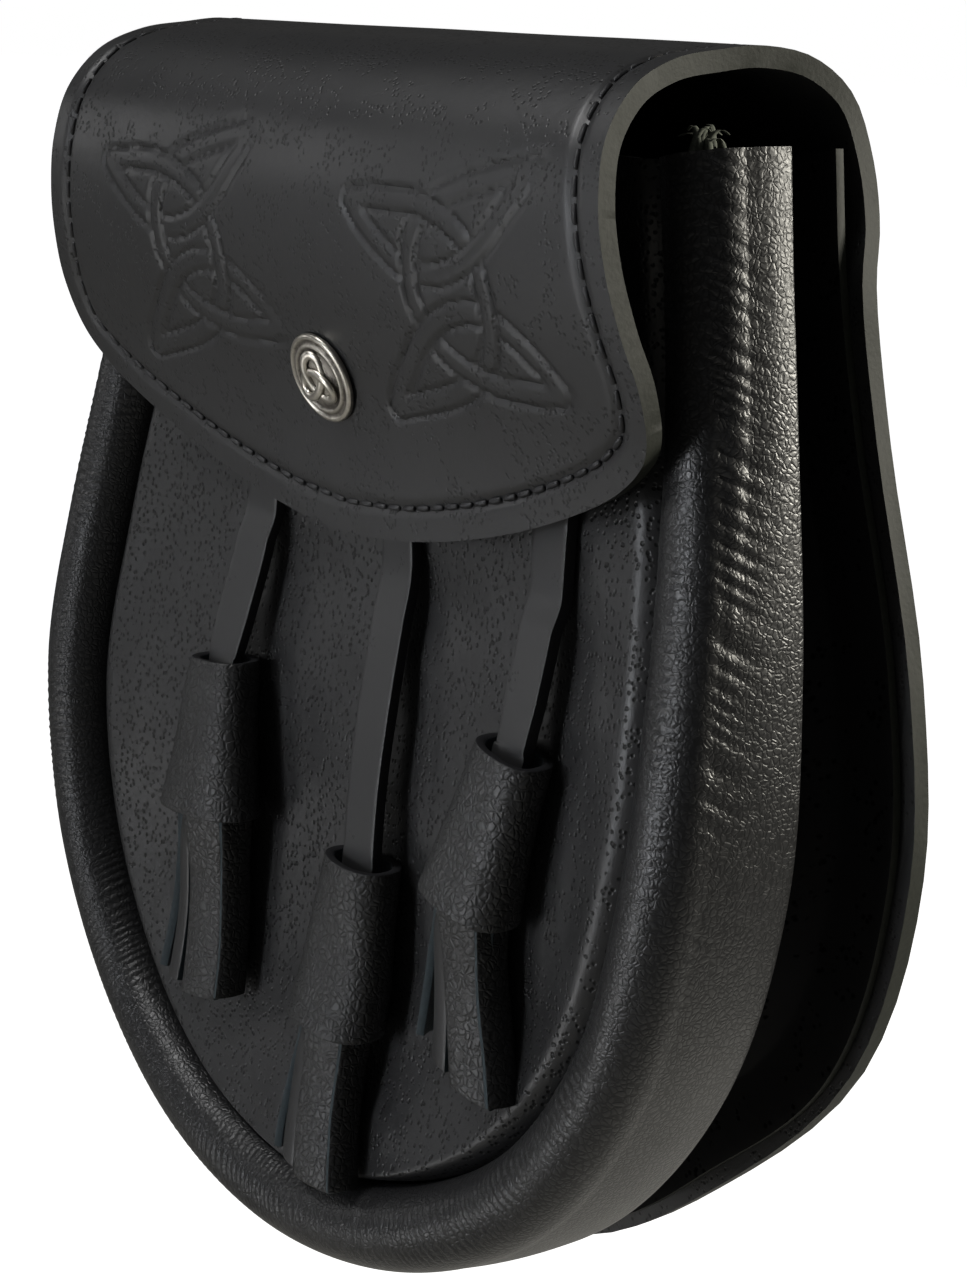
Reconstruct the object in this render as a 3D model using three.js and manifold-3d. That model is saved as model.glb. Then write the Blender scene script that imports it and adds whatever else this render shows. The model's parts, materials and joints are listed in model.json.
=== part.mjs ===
// A day sporran: a hanging leather belt pouch with a padded roll round its front panel, a folded
// gusset, a flap in one piece with the back, three tassels and a press stud.
// Millimetres. X runs across the pouch, its front faces -Y and Z is up. "Depth" is measured
// forwards from the back's outer face.
import * as THREE from "three";
import { mergeVertices } from "three/addons/utils/BufferGeometryUtils.js";
import Module from "manifold-3d";

// Clearance between pieces that touch
const GAP = 0.3;

// Pouch
const BODY_HEIGHT = 190;
const ROLL_HALF_WIDTH = 80;
const ROLL_DEPTH = 41.3;
const ROLL_RADIUS = 7;
const BAND_DEPTH = 27.4;
const BAND_FLARE = 1.2;
const BAND_LEATHER = 2;
const BACK_HALF_WIDTH = 96;
const BACK_LEATHER = 3;

// Arch and flap; the arch stands over the roll where it is ARCH_STATION_SHARE of its full depth
const ARCH_RISE = 32.5;
const ARCH_STATION_SHARE = 0.82;
const ARCH_CLEARANCE = 3.9;
const FLAP_HALF_WIDTH = 76;
const FLAP_DROP = 79;

// Front panel
const PANEL_LEATHER = 2;
const PANEL_STEP = 3;
const PANEL_SAG = 6;

// Gusset
const GUSSET_LEATHER = 1.5;
const GUSSET_LAP = 6;
const GUSSET_FOLD = 5;
const GUSSET_TURN = 2.2;
const FOLD_ROUND = 1.5;
const FLANGE_WIDTH = 11;
const FLANGE_INSET = 2.5;
const FLANGE_LIFT = 0.6;

// Press stud
const STUD_HEIGHT = 151;
const STUD_RADIUS = 7.5;
const STUD_CROWN = 2.9;
const STUD_RIM = 0.9;
const STUD_RIM_ROUND = 0.5;
const POST_RADIUS = 2.2;
const SOCKET_RADIUS = 5.2;
const SOCKET_HEIGHT = 1;

// Tassels
const STRAP_WIDTH = 8.2;
const STRAP_LEATHER = 2;
const STRAP_CLEARANCE = 1;
const STRAP_TUCK = 7;
const COLLAR_WIDTH = 20;
const COLLAR_LEATHER = 1.6;
const COLLAR_TOP_DEPTH = 9.5;
const COLLAR_BOTTOM_DEPTH = 12;
const HEAD_HEIGHT = 8;
const FRINGE_LENGTH = 33;
const STRIP_ROOT = 1;
const STRIP_WIDTH = 8.5;
const STRIP_LEATHER = 1.5;
const STRIP_SETTLE = 0.5;

// Strap loops on the back
const LOOP_HEIGHT = 136;
const LOOP_SPREAD = 34;
const LOOP_WIDTH = 18;
const LOOP_LEATHER = 2.4;
const LOOP_OPENING = 30;
const LOOP_ROOM = 7;
const LOOP_FOOT = 9;
const LOOP_BEND = 2.3;

// One row for each station of the roll, from the bottom's middle up the right side to its cut end:
// the roll's centre line, the band's rear edge and the back's outline beside it
// width: share of ROLL_HALF_WIDTH; height: share of BODY_HEIGHT; depth: share of ROLL_DEPTH
// bandDepth: share of BAND_DEPTH; backWidth: share of BACK_HALF_WIDTH; backHeight: of BODY_HEIGHT
const SIDE_ROUTE = [
  { width: 0.0, height: 0.063, depth: 1.0, bandDepth: 1.0, backWidth: 0.0, backHeight: 0.0 },
  { width: 0.375, height: 0.092, depth: 0.98, bandDepth: 0.97, backWidth: 0.333, backHeight: 0.034 },
  { width: 0.7, height: 0.175, depth: 0.93, bandDepth: 0.86, backWidth: 0.625, backHeight: 0.136 },
  { width: 0.915, height: 0.306, depth: 0.9, bandDepth: 0.77, backWidth: 0.915, backHeight: 0.293 },
  { width: 1.0, height: 0.458, depth: 0.865, bandDepth: 0.71, backWidth: 1.0, backHeight: 0.465 },
  { width: 0.985, height: 0.616, depth: 0.763, bandDepth: 0.675, backWidth: 0.967, backHeight: 0.616 },
  { width: 0.928, height: 0.79, depth: 0.642, bandDepth: 0.655, backWidth: 0.866, backHeight: 0.79 },
  { width: 0.881, height: 0.905, depth: 0.605, bandDepth: 0.63, backWidth: 0.812, backHeight: 0.905 },
  { width: 0.838, height: 1.0, depth: 0.58, bandDepth: 0.585, backWidth: 0.785, backHeight: 1.0 },
];

// The back's last station below the arch
const springStation = SIDE_ROUTE.length - 2;

// Rear of the arch: rise is a share of ARCH_RISE above the spring, depth of the arch's own depth
const ARCH_REAR = [
  { depth: -0.045, rise: 0.27, width: 0.995 },
  { depth: -0.045, rise: 0.55, width: 0.965 },
  { depth: 0.01, rise: 0.82, width: 0.935 },
  { depth: 0.14, rise: 0.965, width: 0.912 },
  { depth: 0.32, rise: 1.01, width: 0.895 },
];

// Front of the arch and flap: drop is a share of FLAP_DROP below the crown
const FLAP_FRONT = [
  { depth: 0.5, drop: 0.006, width: 0.885 },
  { depth: 0.68, drop: 0.024, width: 0.892 },
  { depth: 0.845, drop: 0.07, width: 0.905 },
  { depth: 0.96, drop: 0.155, width: 0.92 },
  { depth: 1.0, drop: 0.262, width: 0.938 },
  { depth: 0.992, drop: 0.371, width: 0.958 },
  { depth: 0.953, drop: 0.48, width: 0.981 },
  { depth: 0.893, drop: 0.585, width: 1.0 },
  { depth: 0.828, drop: 0.69, width: 0.978 },
  { depth: 0.79, drop: 0.765, width: 0.895 },
  { depth: 0.76, drop: 0.845, width: 0.725 },
  { depth: 0.742, drop: 0.925, width: 0.48 },
  { depth: 0.735, drop: 0.98, width: 0.22 },
  { depth: 0.733, drop: 1.0, width: 0.0 },
];

// One row for each tassel. x and z are places on the front panel as shares of ROLL_HALF_WIDTH and
// BODY_HEIGHT; topWidth and bottomWidth are shares of COLLAR_WIDTH; fringe and drift, its length and
// how far it sways sideways, are shares of FRINGE_LENGTH; fan is how far its strips spread
const TASSELS = [
  {
    side: "left", strapX: -0.345, topX: -0.38, topZ: 0.518, bottomX: -0.355, bottomZ: 0.38,
    topWidth: 0.7, bottomWidth: 1.15, fringe: 1, drift: 0.03, fan: 1,
  },
  {
    side: "middle", strapX: 0.085, topX: 0.155, topZ: 0.392, bottomX: 0.14, bottomZ: 0.248,
    topWidth: 0.75, bottomWidth: 1, fringe: 0.77, drift: 0.1, fan: 1.2,
  },
  {
    side: "right", strapX: 0.585, topX: 0.605, topZ: 0.535, bottomX: 0.545, bottomZ: 0.405,
    topWidth: 0.675, bottomWidth: 0.9, fringe: 0.86, drift: 0.12, fan: 1.9,
  },
];

// Strips of one fringe. turn is the strip's place round the collar and face the way it looks, in
// degrees, 0 to the front and 90 to the right; flare leans it outwards and sway sideways, in degrees;
// length is a share of the fringe's and width of STRIP_WIDTH
const STRIPS = [
  { turn: -100, face: -80, flare: 11, sway: 0, length: 0.93, width: 0.7 },
  { turn: -62, face: -18, flare: 4, sway: 0, length: 0.97, width: 0.75 },
  { turn: 10, face: 8, flare: 1, sway: 0, length: 1.0, width: 1.15 },
  { turn: 95, face: 86, flare: 1, sway: 0, length: 0.97, width: 0.75 },
  { turn: 140, face: 140, flare: 0, sway: 2, length: 0.92, width: 0.9 },
  { turn: -160, face: -165, flare: 0, sway: -2, length: 0.92, width: 0.9 },
];

// Where the panel's hollow begins above its foot and flattens towards the top, as shares of BODY_HEIGHT
const PANEL_FOOT = { from: 0.06, to: 0.3 };
const PANEL_TOP = { from: 0.6, to: 0.76, taut: 0.75 };

// A strap: where it narrows along its length, its end's share of the collar's inside, and the power
// by which it rises off the panel below the flap's tip
const STRAP_SHAPE = { narrows: 0.8, tucked: 0.7, rise: 0.6 };

// Roundness of a collar's oval, and the strips' places in it as shares of its inside
const OVAL_POWER = 0.8;
const STRIP_SEAT = { side: 0.72, lift: 0.62 };

// Sections of one strip: share of its length and of its width
const STRIP_ROWS = [
  { share: 0, width: 0.5 },
  { share: 0.1, width: 0.91 },
  { share: 0.35, width: 0.93 },
  { share: 0.65, width: 0.96 },
  { share: 1, width: 1 },
];

// The first row of FLAP_FRONT that the stud can sit beside
const FRONT_ROW = 5;

// Fineness of the curved pieces
const STEPS_PER_STATION = 4;
const ROLL_SIDES = 14;
const PANEL_COLUMNS = 10;
const OVAL_SIDES = 16;
const STUD_SIDES = 24;
const DOME_STEPS = 5;
const STRAP_STEPS = 9;
const COLLAR_STEPS = 4;
const SEARCH_STEPS = 30;
const SEAT_STEP = 0.1;

const wasm = await Module();
wasm.setup();

// Depth of the arch from the back's outer face: the roll, its leather and the room in front of it
const archDepth = ROLL_DEPTH * ARCH_STATION_SHARE + ROLL_RADIUS + BACK_LEATHER + ARCH_CLEARANCE;

// A closed three.js mesh from triangles, turned so that its faces point out
function closedGeometry(points, triangles) {
  const raw = new THREE.BufferGeometry();
  raw.setAttribute("position", new THREE.Float32BufferAttribute(points.flatMap((p) => [p.x, p.y, p.z]), 3));
  raw.setIndex(triangles.flat());
  const merged = mergeVertices(raw, 1e-4);
  const index = merged.index.array;
  const at = (i) => new THREE.Vector3().fromBufferAttribute(merged.attributes.position, i);
  const faces = [];
  let volume = 0;
  for (let i = 0; i < index.length; i += 3) {
    const [a, b, c] = [index[i], index[i + 1], index[i + 2]];
    if (a === b || b === c || c === a) continue;
    faces.push([a, b, c]);
    volume += at(a).dot(at(b).cross(at(c)));
  }
  merged.setIndex((volume < 0 ? faces.map(([a, b, c]) => [a, c, b]) : faces).flat());
  return merged;
}

// Triangles that close one end of a sweep, counter-clockwise about the ring's own normal
function capTriangles(ring) {
  const normal = new THREE.Vector3();
  ring.forEach((p, i) => normal.add(p.clone().cross(ring[(i + 1) % ring.length])));
  if (normal.length() < 1e-3) return [];
  normal.normalize();
  const across = Math.abs(normal.z) < 0.9 ? new THREE.Vector3(0, 0, 1) : new THREE.Vector3(1, 0, 0);
  const u = across.cross(normal).normalize();
  const v = normal.clone().cross(u);
  const flat = ring.map((p) => new THREE.Vector2(p.dot(u), p.dot(v)));
  return THREE.ShapeUtils.triangulateShape(flat, []);
}

// A closed skin through rings that all have the same number of points
function sweepRings(rings) {
  const count = rings[0].length;
  const last = (rings.length - 1) * count;
  const triangles = [];
  for (let i = 0; i + 1 < rings.length; i += 1) {
    for (let j = 0; j < count; j += 1) {
      const a = i * count + j;
      const b = i * count + ((j + 1) % count);
      triangles.push([a, b + count, a + count], [a, b, b + count]);
    }
  }
  capTriangles(rings[0]).forEach(([a, b, c]) => triangles.push([a, c, b]));
  capTriangles(rings.at(-1)).forEach(([a, b, c]) => triangles.push([last + a, last + b, last + c]));
  return closedGeometry(rings.flat(), triangles);
}

function toSolid(geometry) {
  const bare = new THREE.BufferGeometry();
  bare.setAttribute("position", geometry.attributes.position);
  bare.setIndex(geometry.index);
  const merged = mergeVertices(bare, 1e-4);
  return new wasm.Manifold(new wasm.Mesh({
    numProp: 3,
    vertProperties: new Float32Array(merged.attributes.position.array),
    triVerts: new Uint32Array(merged.index.array),
  }));
}

function toGeometry(solid) {
  const mesh = solid.getMesh();
  const geometry = new THREE.BufferGeometry();
  geometry.setAttribute("position", new THREE.Float32BufferAttribute(mesh.vertProperties, 3));
  geometry.setIndex(Array.from(mesh.triVerts));
  return geometry;
}

// An even wall on both sides of a flat line of [x, y] points
function thicken(line, thickness) {
  const normals = line.map((p, i) => {
    const before = line[Math.max(i - 1, 0)];
    const after = line[Math.min(i + 1, line.length - 1)];
    const length = Math.hypot(after[0] - before[0], after[1] - before[1]);
    return [(before[1] - after[1]) / length, (after[0] - before[0]) / length];
  });
  const side = (sign) => line.map((p, i) => [
    p[0] + (sign * normals[i][0] * thickness) / 2,
    p[1] + (sign * normals[i][1] * thickness) / 2,
  ]);
  return [...side(1), ...side(-1).reverse()];
}

// A smooth curve up the right side. Its first point is the second one's mirror image, so that it
// runs level through the bottom's middle, its next point
function sideCurve(points) {
  const mirrored = points[1].clone();
  mirrored.x *= -1;
  return new THREE.CatmullRomCurve3([mirrored, ...points]);
}

const rollLine = sideCurve(SIDE_ROUTE.map((row) => new THREE.Vector3(
  row.width * ROLL_HALF_WIDTH, -row.depth * ROLL_DEPTH, row.height * BODY_HEIGHT)));

// The back's outline and the band's rear edge beside the roll, at the same stations
const backLine = sideCurve(SIDE_ROUTE.map((row) => new THREE.Vector3(
  row.backWidth * BACK_HALF_WIDTH, -row.bandDepth * BAND_DEPTH, row.backHeight * BODY_HEIGHT)));

// The roll at a fractional station: centre, outward direction in the XZ plane, and its neighbours
function rollAt(station) {
  const t = (station + 1) / SIDE_ROUTE.length;
  const centre = rollLine.getPoint(t);
  const run = rollLine.getTangent(t);
  const flat = Math.hypot(run.x, run.z);
  const out = station === 0 ? new THREE.Vector2(0, -1) : new THREE.Vector2(run.z / flat, -run.x / flat);
  if (station === 0) centre.x = 0;
  const back = backLine.getPoint(t);
  return {
    centre,
    out,
    depth: -centre.y,
    height: centre.z / BODY_HEIGHT,
    bandDepth: -back.y,
    backReach: (back.x - centre.x) * out.x + (back.z - centre.z) * out.y,
  };
}

const stationCount = (SIDE_ROUTE.length - 1) * STEPS_PER_STATION;
const stations = Array.from({ length: stationCount + 1 }, (_, i) => i / STEPS_PER_STATION);

// Sweeps a section of [outward, depth] points round the pouch, from the left end to the right end
function sweepRoundPouch(sectionAt) {
  const half = stations.map((station) => {
    const at = rollAt(station);
    return sectionAt(at).map(([reach, depth]) => new THREE.Vector3(
      at.centre.x + at.out.x * reach, -depth, at.centre.z + at.out.y * reach));
  });
  const mirrored = half.slice(1).reverse().map((ring) => ring.map((p) => new THREE.Vector3(-p.x, p.y, p.z)));
  return sweepRings([...mirrored, ...half]);
}

function paddedRoll() {
  const inner = ROLL_RADIUS - BAND_LEATHER;
  const seam = Math.acos(inner / ROLL_RADIUS);
  return sweepRoundPouch(({ depth, bandDepth }) => {
    const section = [[ROLL_RADIUS + BAND_FLARE, bandDepth], [inner + BAND_FLARE, bandDepth]];
    for (let i = 0; i <= ROLL_SIDES; i += 1) {
      const angle = -seam - (i / ROLL_SIDES) * (2 * Math.PI - seam);
      section.push([ROLL_RADIUS * Math.cos(angle), depth + ROLL_RADIUS * Math.sin(angle)]);
    }
    return section;
  });
}

function gusset() {
  const half = GUSSET_LEATHER / 2;
  const lapReach = ROLL_RADIUS - BAND_LEATHER - GAP - half;
  const flangeDepth = BACK_LEATHER + GAP + half;
  return sweepRoundPouch(({ depth, bandDepth, backReach }) => {
    const lapDepth = Math.min(bandDepth + GUSSET_LAP, depth - ROLL_RADIUS - GAP);
    const edge = backReach - FLANGE_INSET;
    const middle = (bandDepth + flangeDepth) / 2;
    return thicken([
      [lapReach, lapDepth],
      [lapReach + BAND_FLARE / 2, bandDepth],
      [lapReach - GUSSET_TURN, bandDepth - GUSSET_TURN],
      [-GUSSET_FOLD + FOLD_ROUND, middle + FOLD_ROUND],
      [-GUSSET_FOLD, middle],
      [-GUSSET_FOLD + FOLD_ROUND, middle - FOLD_ROUND],
      [edge - FLANGE_WIDTH, flangeDepth + FLANGE_LIFT],
      [edge - FLANGE_WIDTH + GUSSET_TURN, flangeDepth],
      [edge, flangeDepth],
    ], GUSSET_LEATHER);
  });
}

// Depth of the front panel's face at a station, from -1 to 1 across it
function panelDepth(station, across) {
  const { depth, height } = rollAt(station);
  const taut = PANEL_TOP.taut * THREE.MathUtils.smoothstep(height, PANEL_TOP.from, PANEL_TOP.to);
  const rise = THREE.MathUtils.smoothstep(height, PANEL_FOOT.from, PANEL_FOOT.to);
  return depth + PANEL_STEP - PANEL_SAG * (1 - taut) * rise * (1 - across * across);
}

// The panel's right edge at a station, beside the roll
function panelRim(station) {
  const { centre, out } = rollAt(station);
  const inset = ROLL_RADIUS + GAP;
  return { x: Math.max(centre.x - out.x * inset, 0), z: centre.z - out.y * inset };
}

function frontPanel() {
  const rows = stations.map((station) => {
    const rim = panelRim(station);
    const front = [];
    for (let i = 0; i <= PANEL_COLUMNS; i += 1) {
      const across = (2 * i) / PANEL_COLUMNS - 1;
      front.push(new THREE.Vector3(across * rim.x, -panelDepth(station, across), rim.z));
    }
    const rear = front.map((p) => new THREE.Vector3(p.x, p.y + PANEL_LEATHER, p.z)).reverse();
    return [...front, ...rear];
  });
  return sweepRings(rows);
}

// Depth of the panel's face at a place on it
function faceDepth(x, z) {
  let low = 0;
  let high = SIDE_ROUTE.length - 1;
  for (let i = 0; i < SEARCH_STEPS; i += 1) {
    const middle = (low + high) / 2;
    if (panelRim(middle).z < z) low = middle;
    else high = middle;
  }
  const reach = Math.max(panelRim(low).x, 1);
  return panelDepth(low, THREE.MathUtils.clamp(x / reach, -1, 1));
}

// The right edge of the back, arch and flap, from the back's lowest point to the flap's tip
const spring = SIDE_ROUTE[springStation].backHeight * BODY_HEIGHT;
const crown = spring + ARCH_RISE;
const flapEdge = sideCurve([
  ...SIDE_ROUTE.slice(0, springStation + 1).map((row) => new THREE.Vector3(
    row.backWidth * BACK_HALF_WIDTH, 0, row.backHeight * BODY_HEIGHT)),
  ...ARCH_REAR.map((row) => new THREE.Vector3(
    row.width * FLAP_HALF_WIDTH, -row.depth * archDepth, spring + row.rise * ARCH_RISE)),
  ...FLAP_FRONT.map((row) => new THREE.Vector3(
    row.width * FLAP_HALF_WIDTH, -row.depth * archDepth, crown - row.drop * FLAP_DROP)),
]);

// A point of the flap's outer face at a height, and the direction out of the face there
function flapFaceAt(height) {
  let low = (springStation + ARCH_REAR.length + FRONT_ROW) / (flapEdge.points.length - 1);
  let high = 1;
  for (let i = 0; i < SEARCH_STEPS; i += 1) {
    const middle = (low + high) / 2;
    if (flapEdge.getPoint(middle).z > height) low = middle;
    else high = middle;
  }
  const point = flapEdge.getPoint(low);
  const run = flapEdge.getTangent(low);
  const out = new THREE.Vector3(0, run.z, -run.y).normalize();
  return { point: new THREE.Vector3(0, point.y, point.z), out };
}

function backAndFlap() {
  const spans = flapEdge.points.length - 1;
  const first = STEPS_PER_STATION;
  const last = spans * STEPS_PER_STATION;
  const rings = [];
  for (let i = first; i <= last; i += 1) {
    const edge = flapEdge.getPoint(i / last);
    const run = flapEdge.getTangent(i / last);
    const bend = Math.hypot(run.y, run.z);
    const width = i === first || i === last ? 0 : edge.x;
    const level = i === first ? [0, 1] : [run.y / bend, run.z / bend];
    const inner = { y: edge.y - level[1] * BACK_LEATHER, z: edge.z + level[0] * BACK_LEATHER };
    rings.push([
      new THREE.Vector3(-width, edge.y, edge.z),
      new THREE.Vector3(width, edge.y, edge.z),
      new THREE.Vector3(width, inner.y, inner.z),
      new THREE.Vector3(-width, inner.y, inner.z),
    ]);
  }
  const drill = new THREE.CylinderGeometry(POST_RADIUS + GAP, POST_RADIUS + GAP, 4 * BACK_LEATHER, STUD_SIDES);
  const { point, out } = flapFaceAt(STUD_HEIGHT);
  drill.applyQuaternion(new THREE.Quaternion().setFromUnitVectors(new THREE.Vector3(0, 1, 0), out));
  drill.translate(point.x, point.y, point.z);
  return toGeometry(toSolid(sweepRings(rings)).subtract(toSolid(drill)));
}

// Turned pieces of the press stud: their axis points out of the flap, from its outer face
function studCap() {
  const domeRadius = STUD_RADIUS - STUD_RIM_ROUND;
  const profile = [
    new THREE.Vector2(0, GAP),
    new THREE.Vector2(domeRadius, GAP),
    new THREE.Vector2(STUD_RADIUS, GAP + STUD_RIM_ROUND),
    new THREE.Vector2(STUD_RADIUS, GAP + STUD_RIM),
  ];
  for (let i = 0; i < DOME_STEPS; i += 1) {
    const angle = (i / DOME_STEPS) * (Math.PI / 2);
    profile.push(new THREE.Vector2(
      domeRadius * Math.cos(angle), GAP + STUD_RIM + (STUD_CROWN - STUD_RIM) * Math.sin(angle)));
  }
  profile.push(new THREE.Vector2(0, GAP + STUD_CROWN));
  return new THREE.LatheGeometry(profile, STUD_SIDES);
}

// How far the axis runs back from the flap's outer face before the socket meets the panel
function socketReach() {
  const { point, out } = flapFaceAt(STUD_HEIGHT);
  const up = new THREE.Vector3(0, out.z, -out.y);
  let reach = BACK_LEATHER + GAP;
  const clear = (run) => [-1, 1].every((side) => {
    const p = point.clone().addScaledVector(out, -run).addScaledVector(up, side * SOCKET_RADIUS);
    return -p.y > faceDepth(0, p.z) + GAP;
  });
  while (clear(reach + SEAT_STEP)) reach += SEAT_STEP;
  return reach;
}

function studPost() {
  const top = BACK_LEATHER + GAP;
  const reach = Math.max(socketReach(), top + SOCKET_HEIGHT);
  return new THREE.LatheGeometry([
    new THREE.Vector2(0, -reach),
    new THREE.Vector2(SOCKET_RADIUS, -reach),
    new THREE.Vector2(SOCKET_RADIUS, -top),
    new THREE.Vector2(POST_RADIUS, -top),
    new THREE.Vector2(POST_RADIUS, 0),
    new THREE.Vector2(0, 0),
  ], STUD_SIDES);
}

// Places on a tassel: along runs from 0 at the collar's top to 1 at its bottom, and on down the
// fringe, which hangs plumb; side is across it and lift is how far it stands off the panel, which
// it never enters
function tasselPlace(tassel, along, side, lift) {
  const top = new THREE.Vector2(tassel.topX * ROLL_HALF_WIDTH, tassel.topZ * BODY_HEIGHT);
  const bottom = new THREE.Vector2(tassel.bottomX * ROLL_HALF_WIDTH, tassel.bottomZ * BODY_HEIGHT);
  const run = bottom.clone().sub(top);
  const below = Math.max(along - 1, 0);
  const axis = top.clone().addScaledVector(run, along - below);
  axis.y -= below * run.length();
  const across = new THREE.Vector2(-run.y, run.x).normalize();
  const x = axis.x + across.x * side;
  const z = axis.y + across.y * side;
  const depth = Math.max(faceDepth(axis.x, axis.y) + lift, faceDepth(x, z) + GAP);
  return new THREE.Vector3(x, -depth, z);
}

function collarLength(tassel) {
  return Math.hypot(
    (tassel.bottomX - tassel.topX) * ROLL_HALF_WIDTH, (tassel.bottomZ - tassel.topZ) * BODY_HEIGHT);
}

// Half width and half depth of a collar, from 0 at its top to 1 at its bottom
function collarSize(tassel, along) {
  const share = THREE.MathUtils.clamp(along, 0, 1);
  return {
    width: (COLLAR_WIDTH * THREE.MathUtils.lerp(tassel.topWidth, tassel.bottomWidth, share)) / 2,
    depth: THREE.MathUtils.lerp(COLLAR_TOP_DEPTH, COLLAR_BOTTOM_DEPTH, share) / 2,
  };
}

// A flattened oval ring round a tassel's axis, shrunk by an inset
function ovalRing(tassel, along, inset) {
  const size = collarSize(tassel, along);
  const ring = [];
  for (let i = 0; i < OVAL_SIDES; i += 1) {
    const angle = (i / OVAL_SIDES) * 2 * Math.PI;
    const soften = (v) => Math.sign(v) * Math.abs(v) ** OVAL_POWER;
    ring.push(tasselPlace(
      tassel, along, (size.width - inset) * soften(Math.cos(angle)),
      GAP + size.depth + (size.depth - inset) * soften(Math.sin(angle))));
  }
  return ring;
}

function tasselCollar(tassel) {
  const rows = Array.from({ length: COLLAR_STEPS + 1 }, (_, i) => i / COLLAR_STEPS);
  const past = 1 / COLLAR_STEPS;
  const outside = sweepRings(rows.map((along) => ovalRing(tassel, along, 0)));
  const hollow = sweepRings([-past, ...rows, 1 + past].map((along) => ovalRing(tassel, along, COLLAR_LEATHER)));
  return toGeometry(toSolid(outside).subtract(toSolid(hollow)));
}

// A flat thong that starts on the panel below the stud's socket, under the flap, stands off the panel
// and is tucked into its collar
function tasselStrap(tassel) {
  const length = collarLength(tassel);
  const inside = GAP + collarSize(tassel, 0).depth - STRAP_LEATHER / 2;
  const tucked = (tassel.topWidth * COLLAR_WIDTH - 2 * COLLAR_LEATHER) * STRAP_SHAPE.tucked;
  const tuck = STRAP_TUCK / length;
  const rings = [];
  const strapTop = STUD_HEIGHT - SOCKET_RADIUS - STRAP_CLEARANCE;
  const start = new THREE.Vector2(tassel.strapX * ROLL_HALF_WIDTH, strapTop);
  const end = new THREE.Vector2(tassel.topX * ROLL_HALF_WIDTH, tassel.topZ * BODY_HEIGHT);
  const leaves = (start.y - crown + FLAP_DROP) / (start.y - end.y);
  for (let i = 0; i < STRAP_STEPS; i += 1) {
    const share = i / STRAP_STEPS;
    const x = THREE.MathUtils.lerp(start.x, end.x, share);
    const z = THREE.MathUtils.lerp(start.y, end.y, share);
    const lift = GAP + (inside - GAP) * Math.max((share - leaves) / (1 - leaves), 0) ** STRAP_SHAPE.rise;
    const narrowing = THREE.MathUtils.smoothstep(share, STRAP_SHAPE.narrows, 1);
    const half = THREE.MathUtils.lerp(STRAP_WIDTH, tucked, narrowing) / 2;
    rings.push([
      [-half, lift], [half, lift], [half, lift + STRAP_LEATHER], [-half, lift + STRAP_LEATHER],
    ].map(([side, off]) => new THREE.Vector3(x + side, -(faceDepth(x + side, z) + off), z)));
  }
  for (const along of [0, tuck]) {
    rings.push([
      [-1, 0], [1, 0], [1, 1], [-1, 1],
    ].map(([side, off]) => tasselPlace(tassel, along, (side * tucked) / 2, inside + off * STRAP_LEATHER)));
  }
  return sweepRings(rings);
}

// Cut strips fused to a head that fills the collar's lower end
function tasselFringe(tassel) {
  const length = collarLength(tassel);
  const inset = COLLAR_LEATHER + GAP;
  const ends = [1 - HEAD_HEIGHT / length, 1 + STRIP_ROOT / 2 / length];
  let fused = toSolid(sweepRings(ends.map((along) => ovalRing(tassel, along, inset))));
  const size = collarSize(tassel, 1);
  const middle = GAP + size.depth;
  const radius = {
    side: STRIP_SEAT.side * (size.width - inset),
    lift: STRIP_SEAT.lift * (size.depth - inset),
  };
  for (const strip of STRIPS) {
    const turn = THREE.MathUtils.degToRad(strip.turn);
    const look = THREE.MathUtils.degToRad(strip.face);
    const out = { side: Math.sin(turn), lift: Math.cos(turn) };
    const front = { side: Math.sin(look), lift: Math.cos(look) };
    const flare = Math.tan(THREE.MathUtils.degToRad(strip.flare * tassel.fan));
    const sway = Math.tan(THREE.MathUtils.degToRad(strip.sway * tassel.fan));
    const rings = STRIP_ROWS.map(({ share, width }) => {
      const drop = share * (strip.length * tassel.fringe * FRINGE_LENGTH + STRIP_ROOT) - STRIP_ROOT;
      const half = (STRIP_WIDTH / 2) * strip.width * width;
      const reach = Math.max(drop, 0) * flare;
      const shift = Math.max(drop, 0) * sway;
      const centre = {
        side: radius.side * out.side + front.lift * shift + out.side * reach
          + tassel.drift * FRINGE_LENGTH * share ** 2,
        lift: middle + radius.lift * out.lift - front.side * shift + out.lift * reach,
      };
      const settled = centre.lift * (1 - STRIP_SETTLE * share);
      return [[-1, -1], [1, -1], [1, 1], [-1, 1]].map(([edge, face]) => {
        const side = centre.side + front.lift * edge * half + (front.side * face * STRIP_LEATHER) / 2;
        const lift = settled - front.side * edge * half + (front.lift * face * STRIP_LEATHER) / 2;
        return tasselPlace(tassel, 1 + drop / length, side, lift);
      });
    });
    fused = fused.add(toSolid(sweepRings(rings)));
  }
  return toGeometry(fused);
}

// A bowed strap loop on the back: its feet lie on the leather and the belt strap runs along X
function backLoop(side) {
  const half = LOOP_LEATHER / 2;
  const foot = GAP + half;
  const bow = foot + LOOP_ROOM;
  const reach = LOOP_OPENING / 2;
  const rising = [
    [-reach - LOOP_FOOT, foot],
    [-reach - LOOP_BEND / 2, foot],
    [-reach + LOOP_BEND / 2, foot + LOOP_BEND / 2],
    [-reach + (3 * LOOP_BEND) / 2, bow - LOOP_BEND / 2],
    [-reach + (5 * LOOP_BEND) / 2, bow],
  ];
  const rows = [...rising, ...rising.map(([z, y]) => [-z, y]).reverse()];
  const ring = thicken(rows, LOOP_LEATHER);
  const middle = side * LOOP_SPREAD;
  return sweepRings([-0.5, 0.5].map((edge) => ring.map(
    ([z, y]) => new THREE.Vector3(middle + edge * LOOP_WIDTH, y, LOOP_HEIGHT + z))));
}

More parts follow.
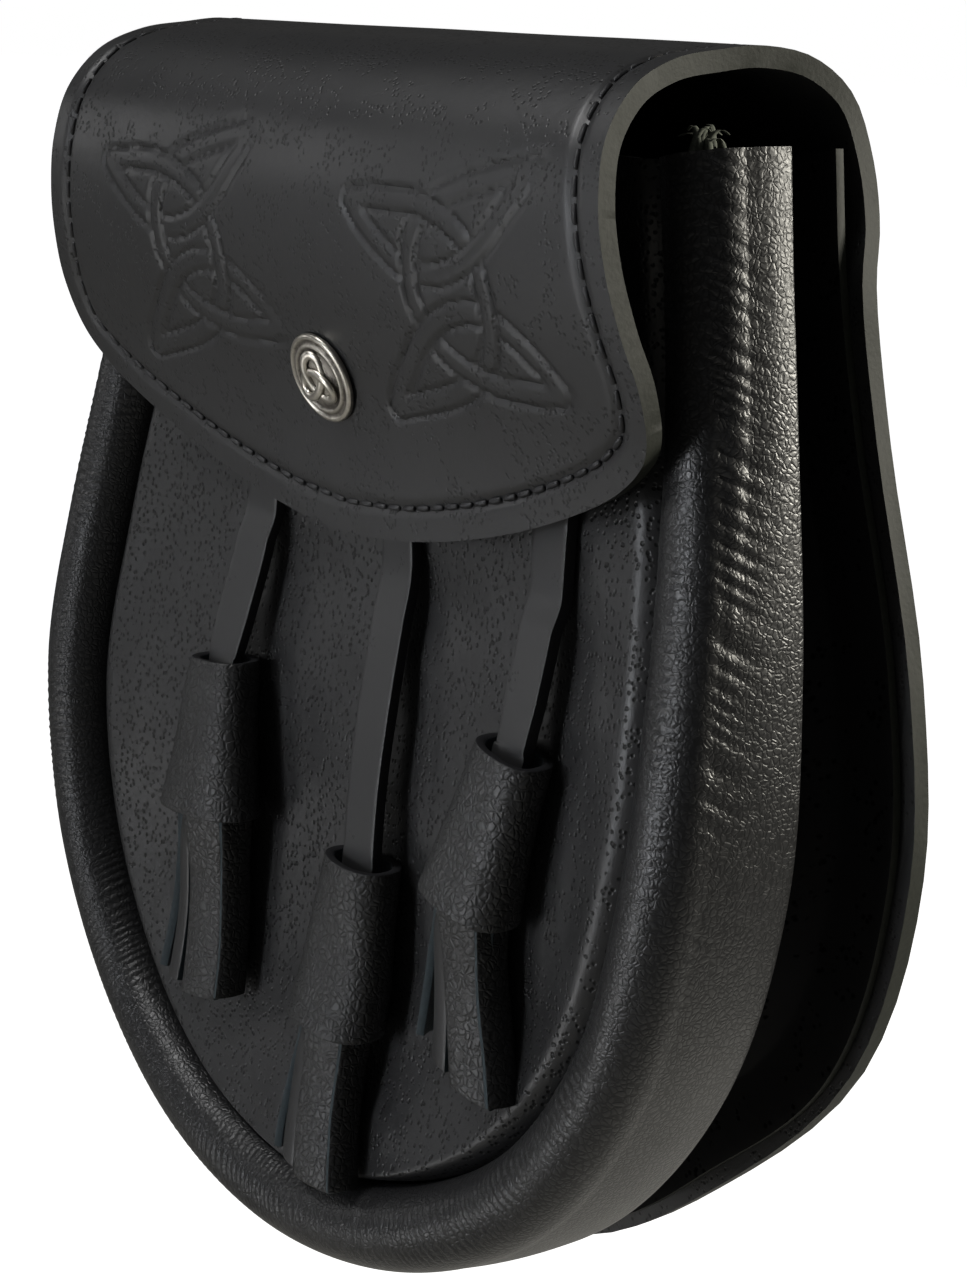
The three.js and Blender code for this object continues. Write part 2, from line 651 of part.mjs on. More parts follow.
const leather = new THREE.MeshStandardMaterial({ color: 0x26282a, roughness: 0.62, metalness: 0 });
const rollLeather = new THREE.MeshStandardMaterial({ color: 0x2b2b2d, roughness: 0.5, metalness: 0 });
const darkLeather = new THREE.MeshStandardMaterial({ color: 0x0f1012, roughness: 0.85, metalness: 0 });
const tasselLeather = new THREE.MeshStandardMaterial({ color: 0x242426, roughness: 0.68, metalness: 0 });
const antiqueMetal = new THREE.MeshStandardMaterial({ color: 0x8c8573, roughness: 0.4, metalness: 1 });

const pouch = new THREE.Group();

function place(name, geometry, material, parent = pouch) {
  const mesh = new THREE.Mesh(geometry, material);
  mesh.name = name;
  parent.add(mesh);
}

place("back_and_flap", backAndFlap(), leather);
place("front_panel", frontPanel(), leather);
place("padded_roll", paddedRoll(), rollLeather);
place("gusset", gusset(), darkLeather);

for (const tassel of TASSELS) {
  place(`tassel_strap_${tassel.side}`, tasselStrap(tassel), tasselLeather);
  place(`tassel_collar_${tassel.side}`, tasselCollar(tassel), tasselLeather);
  place(`tassel_fringe_${tassel.side}`, tasselFringe(tassel), tasselLeather);
}

const stud = new THREE.Group();
const studSeat = flapFaceAt(STUD_HEIGHT);
stud.position.copy(studSeat.point);
stud.quaternion.setFromUnitVectors(new THREE.Vector3(0, 1, 0), studSeat.out);
place("stud_cap", studCap(), antiqueMetal, stud);
place("stud_post", studPost(), antiqueMetal, stud);
pouch.add(stud);

place("back_loop_left", backLoop(-1), leather);
place("back_loop_right", backLoop(1), leather);

// The origin is where the belt strap passes through the loops, midway between them
pouch.position.set(0, -(GAP + LOOP_ROOM / 2), -LOOP_HEIGHT);

const sporran = new THREE.Group();
sporran.add(pouch);

export default sporran;
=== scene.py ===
"""A day sporran in black leather: padded roll, arched flap with pressed knotwork, press stud, tassels.

Tables and sizes are in millimetres in the pouch's own frame: X to the viewer's right, depth forwards
from the back's outer face, height up from the back's lowest point. mesh_place() turns them into the
part's frame in metres.
"""

import json
import math

import bpy
import numpy as np
from mathutils import Matrix, Vector


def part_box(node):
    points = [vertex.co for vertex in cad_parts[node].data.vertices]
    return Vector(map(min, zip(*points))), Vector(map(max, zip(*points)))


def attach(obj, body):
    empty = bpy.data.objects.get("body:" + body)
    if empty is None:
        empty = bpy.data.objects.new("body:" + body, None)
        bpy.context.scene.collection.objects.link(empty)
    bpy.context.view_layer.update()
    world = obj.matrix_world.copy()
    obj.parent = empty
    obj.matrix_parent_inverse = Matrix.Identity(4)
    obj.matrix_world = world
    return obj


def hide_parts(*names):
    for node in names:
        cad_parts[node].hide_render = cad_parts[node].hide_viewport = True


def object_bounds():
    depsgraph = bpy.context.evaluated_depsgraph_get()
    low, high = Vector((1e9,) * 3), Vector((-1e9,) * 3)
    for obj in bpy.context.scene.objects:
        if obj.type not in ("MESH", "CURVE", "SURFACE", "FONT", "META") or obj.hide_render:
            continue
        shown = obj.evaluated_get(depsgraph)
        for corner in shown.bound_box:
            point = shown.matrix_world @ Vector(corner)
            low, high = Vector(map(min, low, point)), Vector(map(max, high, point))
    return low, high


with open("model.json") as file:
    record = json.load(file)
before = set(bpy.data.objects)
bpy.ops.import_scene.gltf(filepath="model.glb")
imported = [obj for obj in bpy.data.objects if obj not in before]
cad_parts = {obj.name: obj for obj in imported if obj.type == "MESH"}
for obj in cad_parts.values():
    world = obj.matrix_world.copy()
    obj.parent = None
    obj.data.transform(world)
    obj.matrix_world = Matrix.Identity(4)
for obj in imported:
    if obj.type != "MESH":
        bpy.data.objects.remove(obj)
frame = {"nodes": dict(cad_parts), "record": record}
cad_box = [list(corner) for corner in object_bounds()]

MM = 0.001
POLE_MERGE = 2e-6
rng = np.random.default_rng(7)

# Sizes shared with the solids
GAP = 0.3
BODY_HEIGHT = 190
ROLL_HALF_WIDTH = 80
ROLL_DEPTH = 41.3
ROLL_RADIUS = 7
BAND_DEPTH = 27.4
BAND_FLARE = 1.2
BAND_LEATHER = 2
BACK_HALF_WIDTH = 96
BACK_LEATHER = 3
ARCH_RISE = 32.5
ARCH_CLEARANCE = 3.9
FLAP_HALF_WIDTH = 76
FLAP_DROP = 79
PANEL_LEATHER = 2
PANEL_STEP = 3
PANEL_SAG = 6
GUSSET_LEATHER = 1.5
GUSSET_LAP = 6
GUSSET_FOLD = 5
FLANGE_WIDTH = 11
FLANGE_INSET = 2.5
STUD_HEIGHT = 151
STUD_RADIUS = 7.5
SOCKET_RADIUS = 5.2
STRAP_WIDTH = 8.2
STRAP_LEATHER = 2
STRAP_TOP = STUD_HEIGHT - SOCKET_RADIUS - 1
STRAP_TUCK = 7
STRAP_RISE = 0.6
COLLAR_WIDTH = 20
COLLAR_LEATHER = 1.6
COLLAR_TOP_DEPTH = 9.5
COLLAR_BOTTOM_DEPTH = 12
FRINGE_LENGTH = 33
STRIP_WIDTH = 8.5
STRIP_LEATHER = 1.5
CUT_GAP = 0.5
LOOP_HEIGHT = 136
LOOP_SPREAD = 34
LOOP_WIDTH = 18
LOOP_LEATHER = 2.4
LOOP_OPENING = 30
LOOP_ROOM = 7
LOOP_FOOT = 9

# width, height, depth, band depth, back width, back height: shares as in the solids, one row for
# each station from the bottom's middle up the right side
SIDE_ROUTE = np.array([
    (0.0, 0.063, 1.0, 1.0, 0.0, 0.0),
    (0.375, 0.092, 0.98, 0.97, 0.333, 0.034),
    (0.7, 0.175, 0.93, 0.86, 0.625, 0.136),
    (0.915, 0.306, 0.9, 0.77, 0.915, 0.293),
    (1.0, 0.458, 0.865, 0.71, 1.0, 0.465),
    (0.985, 0.616, 0.763, 0.675, 0.967, 0.616),
    (0.928, 0.79, 0.642, 0.655, 0.866, 0.79),
    (0.881, 0.905, 0.605, 0.63, 0.812, 0.905),
    (0.838, 1.0, 0.58, 0.585, 0.785, 1.0),
])
SPRING_STATION = len(SIDE_ROUTE) - 2
LAST_STATION = len(SIDE_ROUTE) - 1

# depth, rise, width
ARCH_REAR = np.array([
    (-0.045, 0.27, 0.995),
    (-0.045, 0.55, 0.965),
    (0.01, 0.82, 0.935),
    (0.14, 0.965, 0.912),
    (0.32, 1.01, 0.895),
])

# depth, drop, width
FLAP_FRONT = np.array([
    (0.5, 0.006, 0.885),
    (0.68, 0.024, 0.892),
    (0.845, 0.07, 0.905),
    (0.96, 0.155, 0.92),
    (1.0, 0.262, 0.938),
    (0.992, 0.371, 0.958),
    (0.953, 0.48, 0.981),
    (0.893, 0.585, 1.0),
    (0.828, 0.69, 0.978),
    (0.79, 0.765, 0.895),
    (0.76, 0.845, 0.725),
    (0.742, 0.925, 0.48),
    (0.735, 0.98, 0.22),
    (0.733, 1.0, 0.0),
])

TASSELS = [
    {
        "side": "left", "strap_x": -0.345, "top": (-0.38, 0.518), "bottom": (-0.355, 0.38),
        "widths": (0.7, 1.15), "fringe": 1, "drift": 0.03, "fan": 1,
    },
    {
        "side": "middle", "strap_x": 0.085, "top": (0.155, 0.392), "bottom": (0.14, 0.248),
        "widths": (0.75, 1), "fringe": 0.77, "drift": 0.1, "fan": 1.2,
    },
    {
        "side": "right", "strap_x": 0.585, "top": (0.605, 0.535), "bottom": (0.545, 0.405),
        "widths": (0.675, 0.9), "fringe": 0.86, "drift": 0.12, "fan": 1.9,
    },
]

# Strips of a fringe: place round the collar, the way it looks, outward lean and sideways sway in
# degrees, share of the fringe's length, share of the strip's width, grain of its hide
STRIPS = [
    {"turn": -100, "face": -80, "flare": 11, "sway": 0, "length": 0.93, "width": 0.7, "grain": "smooth"},
    {"turn": -62, "face": -18, "flare": 4, "sway": 0, "length": 0.97, "width": 0.75, "grain": "smooth"},
    {"turn": 10, "face": 8, "flare": 1, "sway": 0, "length": 1.0, "width": 1.15, "grain": "pebbled"},
    {"turn": 95, "face": 86, "flare": 1, "sway": 0, "length": 0.97, "width": 0.75, "grain": "pebbled"},
    {"turn": 140, "face": 140, "flare": 0, "sway": 2, "length": 0.92, "width": 0.9, "grain": "pebbled"},
    {"turn": -160, "face": -165, "flare": 0, "sway": -2, "length": 0.92, "width": 0.9, "grain": "smooth"},
]

arch_depth = ROLL_DEPTH * 0.82 + ROLL_RADIUS + BACK_LEATHER + ARCH_CLEARANCE
spring = SIDE_ROUTE[SPRING_STATION, 5] * BODY_HEIGHT
crown = spring + ARCH_RISE

back_face = next(m for m in frame["record"]["mounts"] if m["name"] == "back_face")
BACK_PLANE = back_face["pos_m"][1]
BASE_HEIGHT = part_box("back_and_flap")[0][2]


def mesh_place(points):
    """Points [x, depth, height] in millimetres, in the part's frame."""
    points = np.asarray(points, float)
    placed = np.empty_like(points)
    placed[..., 0] = points[..., 0] * MM
    placed[..., 1] = BACK_PLANE - points[..., 1] * MM
    placed[..., 2] = BASE_HEIGHT + points[..., 2] * MM
    return placed


def smoothstep(value, low, high):
    share = np.clip((value - low) / (high - low), 0, 1)
    return share * share * (3 - 2 * share)


def unit(vectors):
    return vectors / np.linalg.norm(vectors, axis=-1, keepdims=True)


def curve_at(points, places):
    """Points of a centripetal Catmull-Rom curve; places count its spans from 0."""
    points = np.asarray(points, float)
    last = len(points) - 1
    ends = [2 * points[0] - points[1], 2 * points[-1] - points[-2]]
    padded = np.vstack([ends[0], points, ends[1]])
    places = np.clip(np.atleast_1d(places).astype(float), 0, last)
    span = np.minimum(places.astype(int), last - 1)
    share = (places - span)[:, None]
    before, start, end, after = (padded[span + i] for i in range(4))
    d0, d1, d2 = (
        np.sqrt(np.linalg.norm(b - a, axis=1, keepdims=True))
        for a, b in ((before, start), (start, end), (end, after))
    )
    leave = ((start - before) / d0 - (end - before) / (d0 + d1) + (end - start) / d1) * d1
    arrive = ((end - start) / d1 - (after - start) / (d1 + d2) + (after - end) / d2) * d1
    cubic = 2 * start - 2 * end + leave + arrive
    square = -3 * start + 3 * end - 2 * leave - arrive
    return ((cubic * share + square) * share + leave) * share + start


def run_along(line):
    """Length run along a line at each of its points."""
    return np.concatenate([[0], np.cumsum(np.linalg.norm(np.diff(line, axis=0), axis=1))])


def line_at(line, run, lengths):
    """Points of a flat line at lengths run along it."""
    return np.column_stack([np.interp(lengths, run, line[:, k]) for k in (0, 1)])


def mirrored_start(points):
    first = np.array(points[1], float)
    first[0] *= -1
    return np.vstack([first, points])


def side_points(width, depth, height):
    return mirrored_start(np.column_stack([width, depth, height]))


ROLL_LINE = side_points(
    SIDE_ROUTE[:, 0] * ROLL_HALF_WIDTH, SIDE_ROUTE[:, 2] * ROLL_DEPTH, SIDE_ROUTE[:, 1] * BODY_HEIGHT)
BACK_LINE = side_points(
    SIDE_ROUTE[:, 4] * BACK_HALF_WIDTH, SIDE_ROUTE[:, 3] * BAND_DEPTH, SIDE_ROUTE[:, 5] * BODY_HEIGHT)
BACK_ROWS = SIDE_ROUTE[: SPRING_STATION + 1]
FLAP_EDGE = side_points(
    np.concatenate([
        BACK_ROWS[:, 4] * BACK_HALF_WIDTH, ARCH_REAR[:, 2] * FLAP_HALF_WIDTH,
        FLAP_FRONT[:, 2] * FLAP_HALF_WIDTH]),
    np.concatenate([
        BACK_ROWS[:, 4] * 0, ARCH_REAR[:, 0] * arch_depth, FLAP_FRONT[:, 0] * arch_depth]),
    np.concatenate([
        BACK_ROWS[:, 5] * BODY_HEIGHT, spring + ARCH_REAR[:, 1] * ARCH_RISE,
        crown - FLAP_FRONT[:, 1] * FLAP_DROP]),
)
FLAP_END = len(FLAP_EDGE) - 1
SPRING_PLACE = SPRING_STATION + 1
CROWN_PLACE = SPRING_PLACE + len(ARCH_REAR)
STEP = 1e-3
EDGE_ROUNDING = 0.35


class RollAt:
    """The roll at signed stations, negative on the left: centre, outward direction, neighbours."""

    def __init__(self, station):
        station = np.atleast_1d(np.asarray(station, float))
        side = np.where(station < 0, -1.0, 1.0)
        place = np.abs(station) + 1
        self.centre = curve_at(ROLL_LINE, place)
        run = curve_at(ROLL_LINE, place + STEP) - curve_at(ROLL_LINE, place - STEP)
        flat = np.hypot(run[:, 0], run[:, 2])
        self.out = np.column_stack([run[:, 2] / flat, -run[:, 0] / flat])
        back = curve_at(BACK_LINE, place)
        self.depth = self.centre[:, 1]
        self.height = self.centre[:, 2] / BODY_HEIGHT
        self.band_depth = back[:, 1]
        self.back_reach = (
            (back[:, 0] - self.centre[:, 0]) * self.out[:, 0]
            + (back[:, 2] - self.centre[:, 2]) * self.out[:, 1])
        self.centre[:, 0] *= side
        self.out[:, 0] *= side


def sweep_points(stations, section):
    """Rings of [x, depth, height] from a section(at) of reach and depth, one row per station."""
    at = RollAt(stations)
    reach, depth = section(at)
    return np.stack([
        at.centre[:, :1] + at.out[:, :1] * reach, depth, at.centre[:, 2:] + at.out[:, 1:] * reach,
    ], axis=-1)


def even_stations(count):
    """Signed stations at even steps along the roll's own length."""
    fine = np.linspace(-LAST_STATION, LAST_STATION, 4001)
    run = run_along(RollAt(fine).centre)
    length = np.linspace(0, run[-1], count)
    return np.interp(length, run, fine), length


# Meshes

def select_only(piece):
    bpy.ops.object.select_all(action="DESELECT")
    piece.select_set(True)
    bpy.context.view_layer.objects.active = piece


def coordinates(piece):
    flat = np.empty(len(piece.data.vertices) * 3)
    piece.data.vertices.foreach_get("co", flat)
    return flat.reshape(-1, 3)


def set_coordinates(piece, places):
    piece.data.vertices.foreach_set("co", np.ascontiguousarray(places, float).ravel())
    piece.data.update()


def flat_grid(name, rows, columns):
    """A grid primitive, and for each of its vertices its number in row by row order."""
    bpy.ops.object.select_all(action="DESELECT")
    bpy.ops.mesh.primitive_grid_add(x_subdivisions=columns - 1, y_subdivisions=rows - 1, size=1)
    piece = bpy.context.active_object
    piece.name = piece.data.name = name
    flat = coordinates(piece) + 0.5
    column = np.rint(flat[:, 0] * (columns - 1)).astype(int)
    row = np.rint(flat[:, 1] * (rows - 1)).astype(int)
    return piece, row * columns + column


def grid_piece(name, points, closed=False):
    """A grid laid on points[row, column]; closed joins its first and last column."""
    piece, order = flat_grid(name, *points.shape[:2])
    set_coordinates(piece, mesh_place(points.reshape(-1, 3)[order]))
    if closed:
        merge(piece)
    return piece


def merge(piece, distance=1e-6):
    select_only(piece)
    bpy.ops.object.mode_set(mode="EDIT")
    bpy.ops.mesh.select_all(action="SELECT")
    bpy.ops.mesh.remove_doubles(threshold=distance)
    bpy.ops.object.mode_set(mode="OBJECT")


def face_out(piece):
    select_only(piece)
    bpy.ops.object.mode_set(mode="EDIT")
    bpy.ops.mesh.select_all(action="SELECT")
    bpy.ops.mesh.normals_make_consistent(inside=False)
    bpy.ops.object.mode_set(mode="OBJECT")


def face_towards(piece, way):
    """Flips an open sheet whose faces look away from the given direction on the whole."""
    normals = np.empty(len(piece.data.polygons) * 3)
    piece.data.polygons.foreach_get("normal", normals)
    if np.dot(normals.reshape(-1, 3).mean(axis=0), way) < 0:
        piece.data.flip_normals()


def close_ends(piece):
    """Fills the open ends of a tube and turns all faces out."""
    select_only(piece)
    bpy.ops.object.mode_set(mode="EDIT")
    bpy.ops.mesh.select_mode(type="EDGE")
    bpy.ops.mesh.select_all(action="DESELECT")
    bpy.ops.mesh.select_non_manifold(
        extend=False, use_wire=False, use_multi_face=False, use_non_contiguous=False, use_verts=False)
    bpy.ops.mesh.fill_holes(sides=0)
    bpy.ops.object.mode_set(mode="OBJECT")
    face_out(piece)


def apply(piece, kind, **settings):
    modifier = piece.modifiers.new(kind.title(), kind)
    for key, value in settings.items():
        setattr(modifier, key, value)
    select_only(piece)
    bpy.ops.object.modifier_apply(modifier=modifier.name)


def thicken(piece, thickness, offset=-1):
    """A wall with its rim in the second material and its rear in the third: behind the faces with
    offset -1, half on each side of them with 0."""
    apply(piece, "SOLIDIFY", thickness=thickness * MM, offset=offset, use_even_offset=True,
          material_offset=2, material_offset_rim=1)


def round_edges(piece, width, segments=2, angle=50):
    apply(piece, "BEVEL", width=width * MM, segments=segments, limit_method="ANGLE",
          angle_limit=math.radians(angle), use_clamp_overlap=True)


def smooth(piece, angle=40):
    select_only(piece)
    bpy.ops.object.shade_smooth_by_angle(angle=math.radians(angle))


def join(name, parts):
    bpy.ops.object.select_all(action="DESELECT")
    for part in parts:
        part.select_set(True)
    bpy.context.view_layer.objects.active = parts[0]
    if len(parts) > 1:
        bpy.ops.object.join()
    piece = bpy.context.view_layer.objects.active
    piece.name = piece.data.name = name
    return piece


def wear(piece, *materials):
    for material in materials:
        piece.data.materials.append(material)


def keep(piece, slot, *nodes):
    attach(piece, "root")
    if nodes:
        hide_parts(*nodes)


def capsule(length, radius, sides=8):
    """One stitch along X, modelled from a sphere stretched about its middle."""
    bpy.ops.object.select_all(action="DESELECT")
    bpy.ops.mesh.primitive_uv_sphere_add(segments=sides, ring_count=6, radius=radius)
    stitch = bpy.context.active_object
    places = coordinates(stitch)[:, [2, 0, 1]]
    places[:, 0] += np.sign(np.round(places[:, 0], 9)) * (length / 2 - radius)
    set_coordinates(stitch, places)
    return stitch


def repeated(name, model, places, along, up):
    """Copies of a model, its X laid along each direction and its Z up, in one mesh."""
    shape = coordinates(model)
    faces = [list(face.vertices) for face in model.data.polygons]
    bpy.data.objects.remove(model)
    along = unit(along)
    side = unit(np.cross(up, along))
    up = np.cross(along, side)
    turned = (
        shape[None, :, :1] * along[:, None] + shape[None, :, 1:2] * side[:, None]
        + shape[None, :, 2:] * up[:, None] + places[:, None])
    corners = [
        [index + copy * len(shape) for index in face] for copy in range(len(places)) for face in faces]
    mesh = bpy.data.meshes.new(name)
    mesh.from_pydata(turned.reshape(-1, 3), [], corners)
    piece = bpy.data.objects.new(name, mesh)
    bpy.context.scene.collection.objects.link(piece)
    face_out(piece)
    bpy.ops.object.shade_smooth()
    return piece


# Shared shader groups

def new_group(name, inputs, outputs):
    group = bpy.data.node_groups.new(name, "ShaderNodeTree")
    for label, kind, default in inputs:
        socket = group.interface.new_socket(label, in_out="INPUT", socket_type=kind)
        if default is not None:
            socket.default_value = default
    for label, kind in outputs:
        group.interface.new_socket(label, in_out="OUTPUT", socket_type=kind)
    return group, group.nodes.new("NodeGroupInput"), group.nodes.new("NodeGroupOutput")


def add_node(tree, kind, links=None, **settings):
    """A node with its settings, and its inputs linked or set by name."""
    node = tree.nodes.new(kind)
    for key, value in settings.items():
        setattr(node, key, value)
    for key, source in (links or {}).items():
        socket = node.inputs[key]
        if isinstance(source, bpy.types.NodeSocket):
            tree.links.new(source, socket)
        else:
            socket.default_value = source
    return node


def pin_grain_group():
    """Smooth leather with scattered follicle pits: height, and a mask that is 1 in a pit."""
    group, given, result = new_group(
        "pin grain",
        [("Vector", "NodeSocketVector", None), ("Pit Scale", "NodeSocketFloat", 420.0),
         ("Pit Cover", "NodeSocketFloat", 0.5)],
        [("Height", "NodeSocketFloat"), ("Pits", "NodeSocketFloat")])
    place = given.outputs["Vector"]
    cells = add_node(group, "ShaderNodeTexVoronoi", {"Vector": place, "Scale": given.outputs["Pit Scale"]})
    pit = add_node(group, "ShaderNodeMapRange", {
        "Value": cells.outputs["Distance"], "From Min": 0.16, "From Max": 0.42, "To Min": 1.0, "To Max": 0.0,
    }, interpolation_type="SMOOTHSTEP")
    patch = add_node(group, "ShaderNodeTexNoise", {"Vector": place, "Scale": 160.0, "Detail": 1.0})
    chosen = add_node(group, "ShaderNodeMath", {
        0: patch.outputs["Fac"], 1: given.outputs["Pit Cover"]}, operation="LESS_THAN")
    pits = add_node(group, "ShaderNodeMath", {
        0: pit.outputs["Result"], 1: chosen.outputs["Value"]}, operation="MULTIPLY")
    fine = add_node(group, "ShaderNodeTexNoise", {"Vector": place, "Scale": 2600.0, "Detail": 3.0})
    soft = add_node(group, "ShaderNodeTexNoise", {"Vector": place, "Scale": 520.0, "Detail": 2.0})
    both = add_node(group, "ShaderNodeMath", {
        0: fine.outputs["Fac"], 1: 0.22, 2: soft.outputs["Fac"]}, operation="MULTIPLY_ADD")
    height = add_node(group, "ShaderNodeMath", {
        0: pits.outputs["Value"], 1: -1.1, 2: both.outputs["Value"]}, operation="MULTIPLY_ADD")
    group.links.new(height.outputs["Value"], result.inputs["Height"])
    group.links.new(pits.outputs["Value"], result.inputs["Pits"])
    return group


def pebble_grain_group():
    """Pebbled grain: soft cushions parted by fine cracks."""
    group, given, result = new_group(
        "pebble grain",
        [("Vector", "NodeSocketVector", None), ("Pebble Scale", "NodeSocketFloat", 900.0)],
        [("Height", "NodeSocketFloat"), ("Cracks", "NodeSocketFloat")])
    place = given.outputs["Vector"]
    drift = add_node(group, "ShaderNodeTexNoise", {"Vector": place, "Scale": 420.0, "Detail": 2.0})
    shift = add_node(group, "ShaderNodeVectorMath", {
        0: drift.outputs["Color"], 1: (0.0018, 0.0018, 0.0018)}, operation="MULTIPLY")
    warped = add_node(group, "ShaderNodeVectorMath", {0: place, 1: shift.outputs["Vector"]}, operation="ADD")
    cells = add_node(group, "ShaderNodeTexVoronoi", {
        "Vector": warped.outputs["Vector"], "Scale": given.outputs["Pebble Scale"],
    }, feature="DISTANCE_TO_EDGE")
    cushion = add_node(group, "ShaderNodeMapRange", {
        "Value": cells.outputs["Distance"], "From Min": 0.0, "From Max": 0.26,
    }, interpolation_type="SMOOTHSTEP")
    fine = add_node(group, "ShaderNodeTexNoise", {"Vector": place, "Scale": 2400.0, "Detail": 2.0})
    height = add_node(group, "ShaderNodeMath", {
        0: fine.outputs["Fac"], 1: 0.3, 2: cushion.outputs["Result"]}, operation="MULTIPLY_ADD")
    cracks = add_node(group, "ShaderNodeMath", {
        0: 1.0, 1: cushion.outputs["Result"]}, operation="SUBTRACT")
    group.links.new(height.outputs["Value"], result.inputs["Height"])
    group.links.new(cracks.outputs["Value"], result.inputs["Cracks"])
    return group


def mottle_group():
    """Slow change of tone over the hide."""
    group, given, result = new_group(
        "hide mottle",
        [("Vector", "NodeSocketVector", None), ("Patch Scale", "NodeSocketFloat", 30.0)],
        [("Tone", "NodeSocketFloat")])
    patch = add_node(group, "ShaderNodeTexNoise", {
        "Vector": given.outputs["Vector"], "Scale": given.outputs["Patch Scale"], "Detail": 4.0,
        "Roughness": 0.6})
    group.links.new(patch.outputs["Fac"], result.inputs["Tone"])
    return group


PIN_GRAIN = pin_grain_group()
PEBBLE_GRAIN = pebble_grain_group()
MOTTLE = mottle_group()


def new_material(name):
    material = bpy.data.materials.new(name)
    material.use_nodes = True
    tree = material.node_tree
    shader = tree.nodes["Principled BSDF"]
    place = tree.nodes.new("ShaderNodeTexCoord").outputs["Object"]
    return material, tree, shader, place


# Black painted into the pits and cracks of the hides as their shade
PAINTED_SHADE_BLACK = (0.002, 0.002, 0.002, 1)


def hide_material(
        name, dark, light, roughness, grain, scale, bump, specular=0.5, cover=0.5, hollow_shade_and_dulling=0.9):
    """Finished leather that varies between two tones.

    grain is "pin" or "pebble" and scale its size, bump its depth in millimetres, cover the share of the
    hide that has pits, and the last argument how dark the painted shade in the pits or cracks is and how
    dull they are.
    """
    material, tree, shader, place = new_material(name)
    mottle = add_node(tree, "ShaderNodeGroup", {}, node_tree=MOTTLE)
    tree.links.new(place, mottle.inputs["Vector"])
    if grain == "pin":
        texture = add_node(tree, "ShaderNodeGroup", {}, node_tree=PIN_GRAIN)
        texture.inputs["Pit Scale"].default_value = scale
        texture.inputs["Pit Cover"].default_value = cover
        lows = texture.outputs["Pits"]
    else:
        texture = add_node(tree, "ShaderNodeGroup", {}, node_tree=PEBBLE_GRAIN)
        texture.inputs["Pebble Scale"].default_value = scale
        lows = texture.outputs["Cracks"]
    tree.links.new(place, texture.inputs["Vector"])
    tone = add_node(tree, "ShaderNodeMix", {
        "Factor": mottle.outputs["Tone"], "A": (*dark, 1), "B": (*light, 1)}, data_type="RGBA")
    # Painted shade: the pits or cracks are darkened towards black as if shaded; the same mask dulls their
    # shine below
    painted_hollow_shade = add_node(tree, "ShaderNodeMath", {0: lows, 1: hollow_shade_and_dulling}, operation="MULTIPLY")
    hollow_shaded = add_node(tree, "ShaderNodeMix", {
        "Factor": painted_hollow_shade.outputs["Value"], "A": tone.outputs["Result"], "B": PAINTED_SHADE_BLACK,
    }, data_type="RGBA")
    tree.links.new(hollow_shaded.outputs["Result"], shader.inputs["Base Color"])
    rough = add_node(tree, "ShaderNodeMapRange", {
        "Value": mottle.outputs["Tone"], "From Min": 0.3, "From Max": 0.7,
        "To Min": roughness + 0.06, "To Max": roughness - 0.05})
    tree.links.new(rough.outputs["Result"], shader.inputs["Roughness"])
    relief = add_node(tree, "ShaderNodeBump", {
        "Strength": 0.6, "Distance": bump * MM, "Height": texture.outputs["Height"]})
    tree.links.new(relief.outputs["Normal"], shader.inputs["Normal"])
    shine = add_node(tree, "ShaderNodeMapRange", {
        "Value": lows, "To Min": specular, "To Max": specular * (1 - hollow_shade_and_dulling)})
    tree.links.new(shine.outputs["Result"], shader.inputs["Specular IOR Level"])
    return material


def speckled_material(name, dark, light, scale, detail, bump=None, **sockets):
    """A finish that varies between two tones, with a bump of (strength, millimetres) if it has one."""
    material, tree, shader, place = new_material(name)
    speckle = add_node(tree, "ShaderNodeTexNoise", {"Vector": place, "Scale": scale, "Detail": detail})
    colour = add_node(tree, "ShaderNodeMix", {
        "Factor": speckle.outputs["Fac"], "A": (*dark, 1), "B": (*light, 1)}, data_type="RGBA")
    tree.links.new(colour.outputs["Result"], shader.inputs["Base Color"])
    if bump:
        strength, depth = bump
        relief = add_node(tree, "ShaderNodeBump", {
            "Strength": strength, "Distance": depth * MM, "Height": speckle.outputs["Fac"]})
        tree.links.new(relief.outputs["Normal"], shader.inputs["Normal"])
    for label, value in sockets.items():
        shader.inputs[label.replace("_", " ")].default_value = value
    return material


def edge_material(name, dark, light):
    """A cut edge, painted and burnished, with the layers faintly showing."""
    return speckled_material(
        name, dark, light, 1300.0, 3.0, (0.4, 0.15), Roughness=0.65, Specular_IOR_Level=0.25)


def antique_metal():
    """Brushed antique metal: bright on the raised work, darkened in the recesses."""
    material, tree, shader, place = new_material("antique stud metal")
    low = tree.nodes.new("ShaderNodeAttribute")
    low.attribute_name = "recess"
    grime = add_node(tree, "ShaderNodeTexNoise", {"Vector": place, "Scale": 900.0, "Detail": 4.0})
    speck = add_node(tree, "ShaderNodeMapRange", {
        "Value": grime.outputs["Fac"], "From Min": 0.45, "From Max": 0.7, "To Min": 0.0, "To Max": 0.35})
    dirt = add_node(tree, "ShaderNodeMath", {
        0: low.outputs["Fac"], 1: speck.outputs["Result"]}, operation="ADD", use_clamp=True)
    colour = add_node(tree, "ShaderNodeMix", {
        "Factor": dirt.outputs["Value"], "A": (0.56, 0.53, 0.47, 1), "B": (0.1, 0.09, 0.08, 1),
    }, data_type="RGBA")
    tree.links.new(colour.outputs["Result"], shader.inputs["Base Color"])
    rough = add_node(tree, "ShaderNodeMapRange", {
        "Value": dirt.outputs["Value"], "To Min": 0.3, "To Max": 0.65})
    tree.links.new(rough.outputs["Result"], shader.inputs["Roughness"])
    relief = add_node(tree, "ShaderNodeBump", {
        "Strength": 0.3, "Distance": 0.05 * MM, "Height": grime.outputs["Fac"]})
    tree.links.new(relief.outputs["Normal"], shader.inputs["Normal"])
    shader.inputs["Metallic"].default_value = 1.0
    return material
